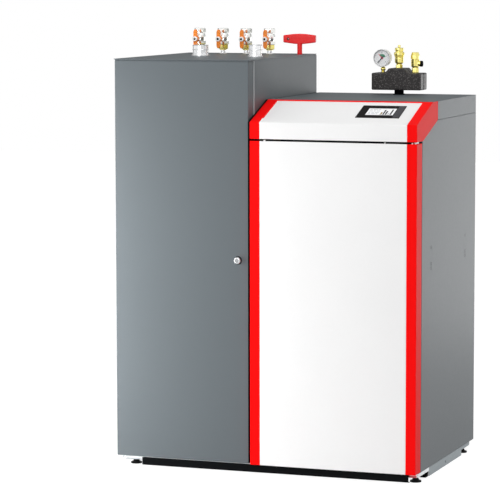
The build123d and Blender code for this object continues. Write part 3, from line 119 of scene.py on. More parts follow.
class Finish:
    """A material or a world whose nodes are being laid out."""

    def __init__(self, owner):
        owner.use_nodes = True
        self.owner = owner
        self.nodes = owner.node_tree.nodes
        self.links = owner.node_tree.links

    def node(self, kind, settings=None, sockets=None, output=0):
        made = self.nodes.new(kind)
        for name, value in (settings or {}).items():
            if name == "stops":
                ramp = made.color_ramp.elements
                while len(ramp) < len(value):
                    ramp.new(1.0)
                for stop, (place, tone) in zip(ramp, value):
                    stop.position = place
                    stop.color = (tone, tone, tone, 1)
            else:
                setattr(made, name, value)
        self.feed(made, sockets or {})
        return Wire(self, made.outputs[output])

    def feed(self, made, sockets):
        for name, value in sockets.items():
            socket = made.inputs[name]
            if isinstance(value, Wire):
                self.links.new(value.socket, socket)
            elif socket.type == "RGBA" and len(value) == 3:
                socket.default_value = (*value, 1)
            else:
                socket.default_value = value

    def surface(self, **sockets):
        """Feeds the Principled shader, whose socket names are given with underscores."""
        named = {name.replace("_", " "): value for name, value in sockets.items()}
        self.feed(self.nodes["Principled BSDF"], named)
        return self.owner

    def where(self):
        """Object coordinates, which are metres in the frame of the whole appliance."""
        return self.node("ShaderNodeTexCoord", output="Object")

    def noise(self, scale, detail=2.0, stretch=(1, 1, 1)):
        place = self.node("ShaderNodeMapping", {}, {"Vector": self.where(), "Scale": stretch})
        return self.node("ShaderNodeTexNoise", {}, {"Vector": place, "Scale": scale, "Detail": detail})

    def tinted(self, colour, tone):
        return self.node("ShaderNodeVectorMath", {"operation": "SCALE"}, {0: colour, "Scale": tone})

    def blended(self, colour, other, share):
        sockets = {0: share, 6: colour, 7: other}
        return self.node("ShaderNodeMix", {"data_type": "RGBA"}, sockets, output=2)

    def relief(self, height, depth, strength=1.0):
        sockets = {"Strength": strength, "Distance": depth, "Height": height}
        return self.node("ShaderNodeBump", {}, sockets)


def linear(*shade):
    """A colour as a screen shows it, 0 to 255, as the linear values that shaders use."""
    parts = [value / 255 for value in shade]
    return tuple(part / 12.92 if part <= 0.04045 else ((part + 0.055) / 1.055) ** 2.4 for part in parts)


print("mid grey 118 is", round(linear(118)[0], 3))

# %% [markdown]
# ## Powder coat
#
# The cabinets are folded from steel sheet and powder coated. Baked powder flows out almost smooth, but keeps a
# fine waviness, called orange peel, about a millimetre across. It could be modelled in the mesh, but at that size
# a Bump node on a noise is enough. A second, large noise keeps wide panels from looking like one flat colour.


# %% Powder coats
def powder_coat(name, shade, roughness, gloss=0.5):
    coat = Finish(bpy.data.materials.new(name))
    cloud = coat.noise(2.2, 3.0)
    peel = coat.noise(700.0, 1.0)
    dust = coat.noise(90.0, 4.0)
    tone = 0.955 + cloud * 0.07 + dust * 0.02
    return coat.surface(
        Base_Color=coat.tinted(linear(*shade), tone),
        Roughness=roughness - 0.04 + dust * 0.08,
        Specular_IOR_Level=gloss,
        Normal=coat.relief(peel, 0.00012, 0.35),
    )


grey_coat = powder_coat("grey_powder_coat", (93, 100, 104), 0.44, 0.26)
white_coat = powder_coat("white_powder_coat", (242, 242, 242), 0.5, 0.14)
red_coat = powder_coat("red_powder_coat", (252, 3, 3), 0.5, 0.07)
black_coat = powder_coat("black_powder_coat", (6, 8, 10), 0.5, 0.06)
print("powder coats", grey_coat.name, white_coat.name, red_coat.name, black_coat.name)

# %% [markdown]
# ## Bare metals
#
# Galvanised sheet shows flat crystals of zinc, so a Voronoi pattern shifts its roughness and tone from crystal to
# crystal. Turned brass and nickel keep faint rings from the lathe. Metals get their colour from what they mirror,
# so the base colour only tints it.


# %% Metals
def galvanised(name, shade, roughness):
    zinc = Finish(bpy.data.materials.new(name))
    sockets = {"Vector": zinc.where(), "Scale": 160.0}
    crystal = zinc.node("ShaderNodeTexVoronoi", {}, sockets, output="Color")
    flake = zinc.node("ShaderNodeSeparateColor", {}, {"Color": crystal})
    streak = zinc.noise(30.0, 4.0, (1, 1, 0.15))
    return zinc.surface(
        Base_Color=zinc.tinted(linear(*shade), 0.88 + flake * 0.14 + streak * 0.05),
        Metallic=0.9,
        Roughness=roughness + flake * 0.14,
        Normal=zinc.relief(streak, 0.0002, 0.2),
    )


def turned_metal(name, shade, roughness, rings=900.0, depth=0.00004):
    metal = Finish(bpy.data.materials.new(name))
    ring = metal.node(
        "ShaderNodeTexWave",
        {"wave_type": "BANDS", "bands_direction": "Z"},
        {"Vector": metal.where(), "Scale": rings, "Distortion": 1.5, "Detail": 1.0},
    )
    stain = metal.noise(120.0, 3.0)
    return metal.surface(
        Base_Color=metal.tinted(linear(*shade), 0.9 + stain * 0.18),
        Metallic=1.0,
        Roughness=roughness + stain * 0.12,
        Normal=metal.relief(ring, depth, 0.3),
    )


def rough_metal(name, shade, roughness, grain, depth, metallic=0.6):
    metal = Finish(bpy.data.materials.new(name))
    lumps = metal.noise(grain, 5.0)
    stain = metal.noise(9.0, 4.0)
    return metal.surface(
        Base_Color=metal.tinted(linear(*shade), 0.75 + stain * 0.5),
        Metallic=metallic,
        Roughness=roughness + lumps * 0.15,
        Normal=metal.relief(lumps, depth, 0.5),
    )


zinc_sheet = galvanised("zinc_sheet", (226, 230, 232), 0.3)
rail_zinc = galvanised("rail_zinc", (138, 146, 150), 0.4)
bright_zinc = turned_metal("bright_zinc", (246, 247, 248), 0.2, 260.0, 0.00001)
brass = turned_metal("turned_brass", (240, 226, 138), 0.14, 700.0, 0.00002)
nickel = turned_metal("nickel_plate", (242, 243, 240), 0.12, 700.0, 0.00002)
stainless = turned_metal("stainless", (196, 197, 198), 0.28, 400.0)
cast_alloy = rough_metal("cast_aluminium", (176, 178, 180), 0.42, 700.0, 0.0003, 0.85)
boiler_steel = rough_metal("boiler_plate", (74, 76, 80), 0.5, 240.0, 0.0004, 0.45)
cast_iron = rough_metal("cast_iron", (52, 53, 56), 0.55, 420.0, 0.0006, 0.3)
bare_steel = turned_metal("bare_steel", (158, 158, 160), 0.3, 300.0)
print("metals", [metal.name for metal in (zinc_sheet, brass, nickel, stainless, cast_alloy, cast_iron)])

# %% [markdown]
# ## Plastics, foam and wool
#
# Moulded plastic has a fine erosion texture. The block round the safety group is expanded foam: small beads
# pressed together, so a Voronoi pattern gives the beads, their dark joints and a few pale ones. Mineral wool is a
# mat of fibres laid in one direction, so its noise is stretched.


# %% Soft and moulded finishes
def moulded(name, shade, roughness, gloss=0.5):
    plastic = Finish(bpy.data.materials.new(name))
    grain = plastic.noise(1100.0, 2.0)
    cloud = plastic.noise(25.0, 2.0)
    return plastic.surface(
        Base_Color=plastic.tinted(linear(*shade), 0.95 + cloud * 0.1),
        Roughness=roughness + grain * 0.06,
        Specular_IOR_Level=gloss,
        Normal=plastic.relief(grain, 0.00008, 0.4),
    )


def bead_foam(name, shade, pale):
    foam = Finish(bpy.data.materials.new(name))
    beads = {"Vector": foam.where(), "Scale": 400.0}
    joint = foam.node("ShaderNodeTexVoronoi", {"feature": "DISTANCE_TO_EDGE"}, beads)
    crystal = foam.node("ShaderNodeTexVoronoi", {}, beads, output="Color")
    lot = foam.node("ShaderNodeSeparateColor", {}, {"Color": crystal})
    fine = foam.noise(900.0, 2.0)
    edge = foam.node("ShaderNodeValToRGB", {"stops": ((0.0, 0.0), (0.09, 1.0))}, {"Fac": joint})
    tone = 0.55 + edge * 0.45 + fine * 0.3
    return foam.surface(
        Base_Color=foam.tinted(foam.blended(linear(*shade), linear(*pale), (lot > 0.88) * 0.6), tone),
        Roughness=0.36,
        Specular_IOR_Level=0.4,
        Normal=foam.relief(edge * 0.8 + fine * 0.2, 0.0004, 0.5),
    )


def fibre_mat(name, shade):
    mat = Finish(bpy.data.materials.new(name))
    fibre = mat.noise(70.0, 6.0, (1, 1, 6))
    cloud = mat.noise(12.0, 3.0)
    return mat.surface(
        Base_Color=mat.tinted(linear(*shade), 0.6 + fibre * 0.5 + cloud * 0.25),
        Roughness=0.95,
        Normal=mat.relief(fibre, 0.003, 0.8),
    )


black_plastic = moulded("black_plastic", (7, 7, 8), 0.45, 0.12)
black_rubber = moulded("black_rubber", (3, 3, 4), 0.7, 0.04)
orange_plastic = moulded("orange_plastic", (255, 140, 22), 0.24, 0.5)
red_plastic = moulded("red_plastic", (250, 24, 26), 0.24, 0.4)
white_plastic = moulded("white_plastic", (253, 253, 252), 0.3)
green_print = moulded("green_print", (10, 132, 92), 0.5)
crimson_print = moulded("crimson_print", (222, 16, 66), 0.4)
grey_print = moulded("grey_print", (110, 112, 120), 0.5)
dark_print = moulded("dark_print", (34, 42, 58), 0.45)
dial_enamel = moulded("dial_enamel", (252, 252, 253), 0.5, 0.2)
# painted light: a pale grey for the strip that paints the lit edge in the store door's seam
painted_seam_light = moulded("painted_seam_light", (176, 180, 182), 0.5, 0.2)
# painted reflection: the grey for the strip that paints the sheen on the display surround's right side
painted_sheen_strip = moulded("painted_sheen_strip", (66, 66, 70), 0.3, 0.3)
foam_beads = bead_foam("bead_foam", (25, 20, 19), (118, 112, 112))
wool = fibre_mat("mineral_wool", (196, 176, 120))
print("soft and moulded", black_plastic.name, foam_beads.name, wool.name)

# %% [markdown]
# ## Glass and the lit screen
#
# The gauge has a thin clear cover, which only shows by its reflection, so most of it is transparent. The control
# panel's screen is lit from behind: an even emission with a faint pattern of rows, as a liquid crystal has.


# %% Glass and screen
def clear_cover(name):
    glass = Finish(bpy.data.materials.new(name))
    smear = glass.noise(60.0, 3.0)
    glass.owner.surface_render_method = "DITHERED"
    return glass.surface(
        Base_Color=(0.95, 0.97, 0.98),
        Roughness=0.04 + smear * 0.04,
        Alpha=0.03 + smear * 0.02,
    )


def lit_screen(name, shade, glow):
    screen = Finish(bpy.data.materials.new(name))
    rows = screen.node(
        "ShaderNodeTexWave",
        {"bands_direction": "X"},
        {"Vector": screen.where(), "Scale": 500.0},
    )
    light = screen.tinted(linear(*shade), 0.94 + rows * 0.06)
    return screen.surface(
        Base_Color=screen.tinted(linear(*shade), 0.5 + rows * 0.04),
        Emission_Color=light,
        Emission_Strength=glow,
        Roughness=0.2,
    )


gauge_glass = clear_cover("gauge_glass")
screen_white = lit_screen("screen_white", (246, 247, 248), 0.55)
screen_pale = lit_screen("screen_pale", (206, 209, 212), 0.5)
screen_dark = lit_screen("screen_dark", (72, 72, 74), 0.4)
screen_warm = lit_screen("screen_warm", (170, 150, 112), 0.45)
print("glass", gauge_glass.name, "screen", screen_white.name)

# %% [markdown]
# ## Finishes on the CAD solids
#
# Every CAD solid names a material slot in its record. Each slot gets one of the finishes above, so that the parts
# inside the cabinets, which only show with a door open, are dressed too. The other way round, each finish has a
# usual slot, which piece() looks up for a piece made here that stands for no solid, but does not keep.

# %% Dress every solid by its slot
slot_finish = {
    "grey_paint": grey_coat,
    "white_paint": white_coat,
    "red_paint": red_coat,
    "black_paint": black_coat,
    "galvanised": zinc_sheet,
    "bare_steel": bare_steel,
    "boiler_steel": boiler_steel,
    "stainless": stainless,
    "nickel": nickel,
    "brass": brass,
    "aluminium_cast": cast_alloy,
    "black_plastic": black_plastic,
    "orange_plastic": orange_plastic,
    "red_plastic": red_plastic,
    "white_plastic": white_plastic,
    "screen_glass": screen_white,
    "foam": foam_beads,
    "mineral_wool": wool,
}
node_slot = {part["node"]: part["material_slot"] for part in record["subparts"]}
usual_slot = {finish.name: slot for slot, finish in slot_finish.items()}
near_slots = {
    "black_plastic": (black_rubber, grey_print, dark_print, painted_seam_light, painted_sheen_strip),
    "white_plastic": (dial_enamel, green_print),
    "red_plastic": (crimson_print,),
    "screen_glass": (gauge_glass, screen_pale, screen_dark, screen_warm),
    "galvanised": (bright_zinc,),
}
usual_slot.update({finish.name: slot for slot, alike in near_slots.items() for finish in alike})
own_finish = {
    "heating_pipes": bright_zinc,
    "safety_manifold": black_rubber,
}
for node, thing in frame["nodes"].items():
    thing.data.materials.clear()
    thing.data.materials.append(own_finish.get(node, slot_finish[node_slot[node]]))
print("dressed", len(node_slot), "solids with", len(slot_finish), "finishes")

# %% [markdown]
# ## From a bmesh to a piece
#
# Shapes are made in millimetres, because the drawing is, and become metres in one place. A finished piece keeps
# its object at the origin and carries its place in its mesh. Large faces next to a rounded edge would shade as if
# they bulged, so a Weighted Normal modifier lets the large faces rule.

# %% Turn a shape into a piece
SCALE = 1000.0
seen = {}


def piece(form, name, finish, body="cabinet", stands_for=(), slot=None, sharp=38, outside=True):
    """Makes a named piece of a bmesh that is in millimetres, and lets it ride on a body."""
    if outside:
        bmesh.ops.remove_doubles(form, verts=form.verts, dist=0.002)
        bmesh.ops.recalc_face_normals(form, faces=form.faces)
    bmesh.ops.scale(form, vec=Vector((1, 1, 1)) / SCALE, verts=form.verts)
    for face in form.faces:
        face.smooth = True
    mesh = bpy.data.meshes.new(name)
    form.to_mesh(mesh)
    form.free()
    mesh.set_sharp_from_angle(angle=math.radians(sharp))
    mesh.materials.append(finish)
    thing = bpy.data.objects.new(name, mesh)
    bpy.context.scene.collection.objects.link(thing)
    weighted = thing.modifiers.new("flat faces rule", "WEIGHTED_NORMAL")
    weighted.keep_sharp = True
    weighted.weight = 80
    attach(thing, body)
    if stands_for:
        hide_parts(*stands_for)
        slot = slot or node_slot[stands_for[0]]
    slot = slot or usual_slot[finish.name]
    seen[name] = len(mesh.polygons)
    return thing


def corner_box(node):
    """The lowest and highest corner of a CAD solid, in millimetres."""
    low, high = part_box(node)
    return low * SCALE, high * SCALE


print("store door from", [round(value, 1) for value in corner_box("store_door")[0]])

# %% [markdown]
# ## Shapes that the fittings share
#
# Most fittings are turned, hexagonal or cut from bar. A turned one starts as a few points, its outline from the
# axis outwards, which spin sweeps round. A nut starts as a six-sided circle that is bridged to its bore and drawn
# up. A block is a cube that is stretched and has its edges bevelled.


# %% Shared shapes
def turn_to(form, verts, axis, at):
    """Lays a shape that was made round Z along another axis, and carries it to its place."""
    if axis == "Y":
        bmesh.ops.rotate(form, verts=verts, matrix=Matrix.Rotation(math.radians(90), 3, "X"))
    if axis == "X":
        bmesh.ops.rotate(form, verts=verts, matrix=Matrix.Rotation(math.radians(90), 3, "Y"))
    bmesh.ops.translate(form, verts=verts, vec=Vector(at))


def round_off(form, edges, radius, segments=2):
    """Bevels edges to a radius."""
    bmesh.ops.bevel(
        form,
        geom=edges,
        offset=radius,
        offset_type="OFFSET",
        affect="EDGES",
        segments=segments,
        profile=0.5,
        material=-1,
        clamp_overlap=True,
    )


def lift(form, faces, way):
    """Draws faces out by a vector, with walls behind them."""
    top = bmesh.ops.extrude_face_region(form, geom=faces, use_keep_orig=True)["geom"]
    verts = [part for part in top if isinstance(part, bmesh.types.BMVert)]
    bmesh.ops.translate(form, vec=way, verts=verts)


def turned(form, outline, at=(0, 0, 0), axis="Z", steps=40, closed=False):
    """Spins an outline of (radius, height) points. Y points to the front when axis is Y."""
    old = set(form.verts)
    ring = [form.verts.new((radius, 0, height)) for radius, height in outline]
    pairs = list(zip(ring, ring[1:])) + ([(ring[-1], ring[0])] if closed else [])
    edges = [form.edges.new(pair) for pair in pairs]
    bmesh.ops.spin(
        form,
        geom=ring + edges,
        cent=(0, 0, 0),
        axis=(0, 0, 1),
        dvec=(0, 0, 0),
        angle=math.tau,
        steps=steps,
        use_merge=True,
        use_duplicate=False,
    )
    verts = [vert for vert in form.verts if vert not in old]
    turn_to(form, verts, axis, at)
    return form


def block(form, low, high, radius=0.0, segments=2):
    """A box between two corners, with its edges rounded."""
    low, high = Vector(low), Vector(high)
    made = bmesh.ops.create_cube(form, size=1.0)["verts"]
    bmesh.ops.scale(form, vec=high - low, verts=made)
    bmesh.ops.translate(form, vec=(low + high) / 2, verts=made)
    if radius:
        round_off(form, list({edge for vert in made for edge in vert.link_edges}), radius, segments)
    return form


def nut(form, flats, bore, height, at, axis="Z", sides=6, chamfer=1.0, twist=0.0):
    """A nut, or with no bore a bar end, drawn up from a many-sided circle."""
    old = set(form.verts)
    corner = flats / 2 / math.cos(math.pi / sides)
    turn = Matrix.Rotation(math.radians(twist), 4, "Z")
    rim = bmesh.ops.create_circle(form, segments=sides, radius=corner, matrix=turn, cap_ends=not bore)["verts"]
    if bore:
        hole = bmesh.ops.create_circle(form, segments=24, radius=bore, matrix=turn)["verts"]
        edges = {edge for vert in rim + hole for edge in vert.link_edges}
        faces = bmesh.ops.bridge_loops(form, edges=list(edges))["faces"]
    else:
        faces = list({face for vert in rim for face in vert.link_faces})
    lift(form, faces, (0, 0, height))
    if chamfer:
        outer = [
            edge
            for edge in {edge for vert in form.verts if vert not in old for edge in vert.link_edges}
            if all(vert.co.xy.length > corner * 0.99 for vert in edge.verts)
            and abs(edge.verts[0].co.z - edge.verts[1].co.z) < 0.01
        ]
        round_off(form, outer, chamfer, 2)
    turn_to(form, [vert for vert in form.verts if vert not in old], axis, at)
    return form


def drawn(form, outline, axis, start, length):
    """A flat outline drawn along X or Y. The outline's points are in the other two axes."""
    if axis == "Y":
        verts = [form.verts.new((across, start, height)) for across, height in outline]
        way = Vector((0, length, 0))
    else:
        verts = [form.verts.new((start, across, height)) for across, height in outline]
        way = Vector((length, 0, 0))
    lift(form, [form.faces.new(verts)], way)
    return form


print("shapes: turned, block, nut and drawn")

# %% [markdown]
# ## Folded sheets
#
# The cabinets' sheets are folded on a press brake, so each outer corner has a small radius that catches the light.
# The CAD solids have sharp corners. Instead of drawing the sheets again, a copy of each solid is merged, its flat
# triangles are dissolved to whole faces, and the folds between two wide faces are bevelled. The thin rims of the
# sheet, where it was sheared, stay sharp as they are on the real cabinet.


# %% Round the folds of the sheets
def folded(node, radius, body="cabinet"):
    """A copy of a sheet's solid whose outer folds are rounded, which stands for it."""
    form = bmesh.new()
    form.from_mesh(frame["nodes"][node].data)
    bmesh.ops.scale(form, vec=Vector((1, 1, 1)) * SCALE, verts=form.verts)
    bmesh.ops.remove_doubles(form, verts=form.verts, dist=0.01)
    bmesh.ops.dissolve_limit(
        form, angle_limit=math.radians(0.6), verts=form.verts, edges=form.edges, use_dissolve_boundaries=False
    )
    form.normal_update()
    wide = {}
    for face in form.faces:
        around = sum(edge.calc_length() for edge in face.edges)
        wide[face] = 2 * face.calc_area() / around > radius * 1.6
    folds = [
        edge
        for edge in form.edges
        if len(edge.link_faces) == 2
        and edge.is_convex
        and edge.calc_face_angle() > math.radians(15)
        and edge.calc_length() > 4 * radius
        and all(wide[face] for face in edge.link_faces)
    ]
    round_off(form, folds, radius, 3)
    piece(form, node + "_folded", slot_finish[node_slot[node]], body, (node,), outside=False)


DOOR_FOLD = 2.2
sheet_folds = {
    "store_left_side_panel": 2.0,
    "store_right_side_panel": 2.0,
    "store_rear_panel": 0.6,
    "store_top_panel": 1.6,
    "boiler_left_side_panel": 2.0,
    "boiler_right_side_panel": 2.0,
    "boiler_rear_panel": 0.6,
    "boiler_lid": 1.8,
    "hood_frame": DOOR_FOLD,
    "hood_panel": DOOR_FOLD,
    "front_plinth": 1.2,
    "base_frame": 1.2,
    "pellet_hopper": 1.2,
}
for node, radius in sheet_folds.items():
    folded(node, radius)
folded("store_door", DOOR_FOLD, "store_door")
for node in ("door_panel", "door_left_trim", "door_right_trim"):
    folded(node, DOOR_FOLD, "boiler_door")
print("folded sheets", len(seen), "faces", sum(seen.values()))

# %% [markdown]
# ## Arcs, plates and rims
#
# The fittings need three more helpers. An arc gives the round parts of an outline that is spun. A plate with round
# holes is filled between its loops and drawn up. The rims of a plate are its sharp edges in one plane, which get a
# bevel of their own.


# %% More shared shapes
def bow(middle, radius, first, last, steps=8):
    """Points along an arc, as (radius, height), between two angles in degrees."""
    angles = [math.radians(first + (last - first) * step / steps) for step in range(steps + 1)]
    return [(middle[0] + radius * math.cos(angle), middle[1] + radius * math.sin(angle)) for angle in angles]


def cut_plate(form, loops, start, length):
    """A plate square to Y between loops of (across, height), of which the first is its outline."""
    edges = []
    for loop in loops:
        ring = [form.verts.new((across, start, height)) for across, height in loop]
        edges += [form.edges.new(pair) for pair in zip(ring, ring[1:] + ring[:1])]
    filled = bmesh.ops.triangle_fill(form, use_beauty=True, use_dissolve=False, edges=edges)["geom"]
    faces = [part for part in filled if isinstance(part, bmesh.types.BMFace)]
    lift(form, faces, (0, length, 0))
    return form


def sharp_edges(form, keep=lambda place: True, angle=30):
    """The edges sharper than an angle whose two ends pass a test."""
    form.normal_update()
    return [
        edge
        for edge in form.edges
        if len(edge.link_faces) == 2
        and edge.calc_face_angle() > math.radians(angle)
        and all(keep(vert.co) for vert in edge.verts)
    ]


def ring_of(form, inner, outer, height, at, axis="Z", steps=40, round_edge=0.0):
    """A flat ring, with its outer top edge rounded."""
    top = [(outer, height - round_edge), (outer - round_edge, height)] if round_edge else [(outer, height)]
    return turned(form, [(inner, 0), (outer, 0)] + top + [(inner, height)], at, axis, steps, closed=True)


def gather(form, other):
    """Adds another shape to a shape, through a mesh that is thrown away."""
    holder = bpy.data.meshes.new("passing")
    other.to_mesh(holder)
    other.free()
    form.from_mesh(holder)
    bpy.data.meshes.remove(holder)
    return form


print("an arc of", len(bow((0, 0), 1, 0, 90)), "points")

# %% [markdown]
# ## Ball valves
#
# Four nickel plated ball valves stand on the water pipes. Each has a pale brass union nut below, a round belly
# over the ball, a hexagon head with an inner thread, and a bonnet towards the front with a two-winged orange lever.
# The belly follows the ball inside, so its outline is two arcs that are spun, and the thread is a row of teeth on
# the inner wall. A drilled ball and the lever with its white cap turn together.

# %% Valve bodies and nuts
valve_at = {}
for number in range(1, 5):
    low, high = corner_box(f"valve_body_{number}")
    belly = 20.0
    valve_at[number] = Vector(((low.x + high.x) / 2, high.y - belly, low.z))
ball_rise = 38.0

for number, at in valve_at.items():
    x, y, foot = at
    union = nut(bmesh.new(), 32, 10.5, 17, at, chamfer=1.6, twist=30)
    ring_of(union, 9.2, 12.5, 3.0, (x, y, foot - 3.0), steps=32, round_edge=0.8)
    piece(union, f"valve_nut_{number}", brass)

    body = nut(bmesh.new(), 38, 9, 12, (x, y, foot + 17), chamfer=1.6, twist=30)
    outer = [(16.8, 29)] + bow((-10, 44.5), 30, -26.7, 26.7, 12) + [(16, 60.2), (9, 60.2)]
    inner = bow((0, ball_rise), 14.4, 51.3, -38.7, 12)
    turned(body, outer + inner, at, steps=48, closed=True)
    nut(body, 38, 15.1, 16, (x, y, foot + 60), chamfer=1.6, twist=30)
    teeth = [(14.2 + 0.9 * (step % 2), 61.0 + 0.9 * step) for step in range(16)]
    turned(body, [(15.4, 61)] + teeth + [(15.4, 74.5)], at, steps=32, closed=True)
    bonnet = [(4.2, 15), (10.4, 15), (10.4, 24), (9.6, 25.5), (9.6, 28), (4.2, 28)]
    turned(body, bonnet, (x, y, foot + ball_rise), "Y", 32, closed=True)
    nut(body, 17, 4.2, 6, (x, y - 28, foot + ball_rise), "Y", chamfer=0.8)
    piece(body, f"valve_{number}", nickel, stands_for=(f"valve_body_{number}",))
print("valves at", [round(at.x) for at in valve_at.values()])

# %% [markdown]
# The lever is moulded in one piece. Its wings are a drawn outline with slanted tips, laid further forward than the
# hub, and every edge is rounded so that it catches a thin highlight.

# %% Valve balls and levers
wing = [(-4.5, -34), (3.5, -34), (7.5, -26), (7.5, 26), (4.5, 34), (-3.5, 34), (-7.5, 26), (-7.5, -26)]
for number, at in valve_at.items():
    lever = f"lever_{number}"
    hub = Vector((at.x, at.y, at.z + ball_rise))
    ball = turned(bmesh.new(), bow((0, 0), 14, -50, 50, 14), hub, steps=40, closed=True)
    turned(ball, [(0, 9.5), (4, 9.5), (4, 41), (0, 41)], hub, "Y", 24)
    piece(ball, f"valve_ball_{number}", nickel, lever)

    wings = drawn(bmesh.new(), [(hub.x + across, hub.z + rise) for across, rise in wing], "Y", hub.y - 52, 9)
    round_off(wings, sharp_edges(wings), 2.0, 3)
    turned(wings, [(0, 37), (11, 37), (11.5, 39), (11, 48), (9.5, 50.5), (0, 50.5)], hub, "Y", 36)
    piece(wings, f"valve_wings_{number}", orange_plastic, lever, (f"valve_lever_{number}",), sharp=50)

    cap = turned(bmesh.new(), [(0, 50), (9.0, 50), (9.0, 55.5), (8.0, 57.4), (0, 57.8)], hub, "Y", 32)
    piece(cap, f"valve_cap_{number}", white_plastic, lever)
    screw = turned(bmesh.new(), [(0, 57), (4.2, 57), (4.0, 58), (0, 58)], hub, "Y", 24)
    piece(screw, f"valve_cap_screw_{number}", black_plastic, lever)
print("pieces", len(seen))

# %% [markdown]
# ## Hose spigots
#
# Two short steel tubes take the pellet hose and the return air hose. A hose is pushed over a rolled lip and held
# behind a bead. Each tube stands in a collar on the store's top and carries on down to what it feeds.

# %% Spigots
store_top = corner_box("store_top_panel")[1].z


def spigot(node, name):
    low, high = corner_box(node)
    middle = (low + high) / 2
    at = (middle.x, middle.y, 0)
    collar = 5.0
    outer = (high.x - low.x) / 2 - collar
    inner = outer - 2.0
    seat = store_top
    bead = seat + (high.z - seat) * 0.58
    outline = [(outer, low.z), (outer, seat + 0.2), (outer + collar, seat + 0.2), (outer + collar, seat + 1.8)]
    outline += [(outer + collar - 0.8, seat + 2.5), (outer + 0.6, seat + 2.5), (outer, seat + 3.4)]
    outline += bow((outer - 0.4, bead), 1.3, -72, 72, 6)
    outline += bow((outer - 0.9, high.z - 1.6), 1.6, -56, 150, 8)
    outline += [(inner, high.z - 3.5), (inner, low.z)]
    piece(turned(bmesh.new(), outline, at, steps=64, closed=True), name, bright_zinc, stands_for=(node,))
    # A black lining inside the tube's mouth paints the shade inside it.
    inner_shade = ring_of(bmesh.new(), inner - 1.4, inner, 34.0, (middle.x, middle.y, high.z - 35.0), steps=48)
    piece(inner_shade, name + "_lining", black_rubber)
    return outer


print("spigots", spigot("pellet_hose_spigot", "hose_spigot"), spigot("return_air_spigot", "air_spigot"))

# %% Grommets round the pipes
for number, at in valve_at.items():
    form = ring_of(bmesh.new(), 9.2, 13.5, 2.2, (at.x, at.y, store_top + 0.1), steps=36, round_edge=0.9)
    piece(form, f"pipe_grommet_{number}", white_plastic)
print("grommets", len(valve_at))

# %% [markdown]
# ## The T-handle
#
# The red handle is moulded: a flat grip that is tallest in the middle, with all its edges rounded, on a round
# stem. It has a hole near one end for a tag. The grip is a plate with a hole, so it is filled between two loops.

# %% T-handle
low, high = corner_box("pull_handle")
stem = Vector(((low.x + high.x) / 2, (low.y + high.y) / 2, 0))
grip_low, grip_middle = high.z - 37.0, high.z - 18.5
grip = [(-61, 13), (-61, -13), (-16, -18.5), (16, -18.5), (61, -13), (61, 13), (24, 17.4), (0, 18.5), (-24, 17.4)]
hole = Vector((stem.x - 41.5, 0, grip_middle))
hole_radius, half_grip = 4.0, 8.0
loops = [
    [(stem.x + across, grip_middle + rise) for across, rise in grip],
    [(hole.x + across, hole.z + rise) for across, rise in bow((0, 0), hole_radius, 0, 342, 19)],
]
handle = cut_plate(bmesh.new(), loops, stem.y - half_grip, 2 * half_grip)
rims = sharp_edges(handle, lambda place: math.hypot(place.x - hole.x, place.z - hole.z) > hole_radius + 1, 20)
round_off(handle, rims, 3.2, 4)
foot = [(6.1, low.z), (8.6, low.z), (9.4, low.z + 1.2), (9.0, low.z + 14), (9.4, grip_low + 4), (6.1, grip_low + 4)]
turned(handle, foot, stem, steps=40, closed=True)
piece(handle, "t_handle", red_plastic, "shutoff", ("pull_handle",), sharp=50)
# A black ring in the tag hole paints the shade inside it.
hole_shade_ring = ring_of(bmesh.new(), 2.6, 4.9, 2.0, (hole.x, stem.y - half_grip + 1.4, hole.z), "Y", 28, 0.5)
piece(hole_shade_ring, "t_handle_hole_shade", black_plastic, "shutoff")
print("handle", round(high.x - low.x), "mm wide")

# %% [markdown]
# ## The pressure gauge
#
# A gauge is a drawn steel cup with a rolled rim, a white dial, a thin pointer and a clear cover. The dial has a
# scale over three quarters of a turn, a green field for the normal range and a red set hand. The marks are thin
# raised plates a few tenths of a millimetre thick, and the numbers are text that is made a mesh.

# %% Gauge case, dial and cover
low, high = corner_box("gauge_case")
gauge_radius = 31.5
dial_middle = Vector(((low.x + high.x) / 2, high.y, high.z - gauge_radius))
dial_height = 28.0
cup = [(0, 0), (25, 0), (28.6, 1), (30.4, 4), (30.6, 26), (31.5, 27.2), (31.5, 31.6), (30.6, 33), (29.4, 32.6)]
case = turned(bmesh.new(), cup + [(29, 31.4), (29, dial_height - 0.2), (0, dial_height - 0.2)], dial_middle, "Y", 64)
piece(case, "gauge_cup", white_plastic, stands_for=("gauge_case",), sharp=45)
dial = turned(bmesh.new(), [(0, 27.6), (28.9, 27.6), (28.9, dial_height), (0, dial_height)], dial_middle, "Y", 64)
piece(dial, "gauge_dial", dial_enamel)
line = ring_of(bmesh.new(), 28.2, 29.3, 0.8, dial_middle - Vector((0, 31.2, 0)), "Y", 64)
piece(line, "gauge_rim_line", grey_print)
cover = turned(bmesh.new(), [(0, 30.2), (28.9, 30.2), (28.9, 31), (20, 31.3), (0, 31.4)], dial_middle, "Y", 64)
piece(cover, "gauge_cover", gauge_glass)


def on_dial(form, angle):
    """Turns a shape that lies along +X from the gauge's axis to an angle, seen from the front."""
    turn = Matrix.Rotation(math.radians(-angle), 3, "Y")
    bmesh.ops.rotate(form, cent=dial_middle, matrix=turn, verts=form.verts)
    return form


def dial_block(first, last, half_width, low_height, high_height):
    form = bmesh.new()
    near = (dial_middle.x + first, dial_middle.y - high_height, dial_middle.z - half_width)
    far = (dial_middle.x + last, dial_middle.y - low_height, dial_middle.z + half_width)
    return block(form, near, far)


print("gauge", round(2 * gauge_radius), "mm across")

# %% Scale, numbers and hands
scale_marks = bmesh.new()
for step in range(21):
    long_mark = step % 5 == 0
    start, half_width = (23.0, 0.4) if long_mark else (25.0, 0.2)
    gather(scale_marks, on_dial(dial_block(start, 27.2, half_width, 27.9, 28.2), 225 - step * 13.5))
piece(scale_marks, "gauge_scale", grey_print)


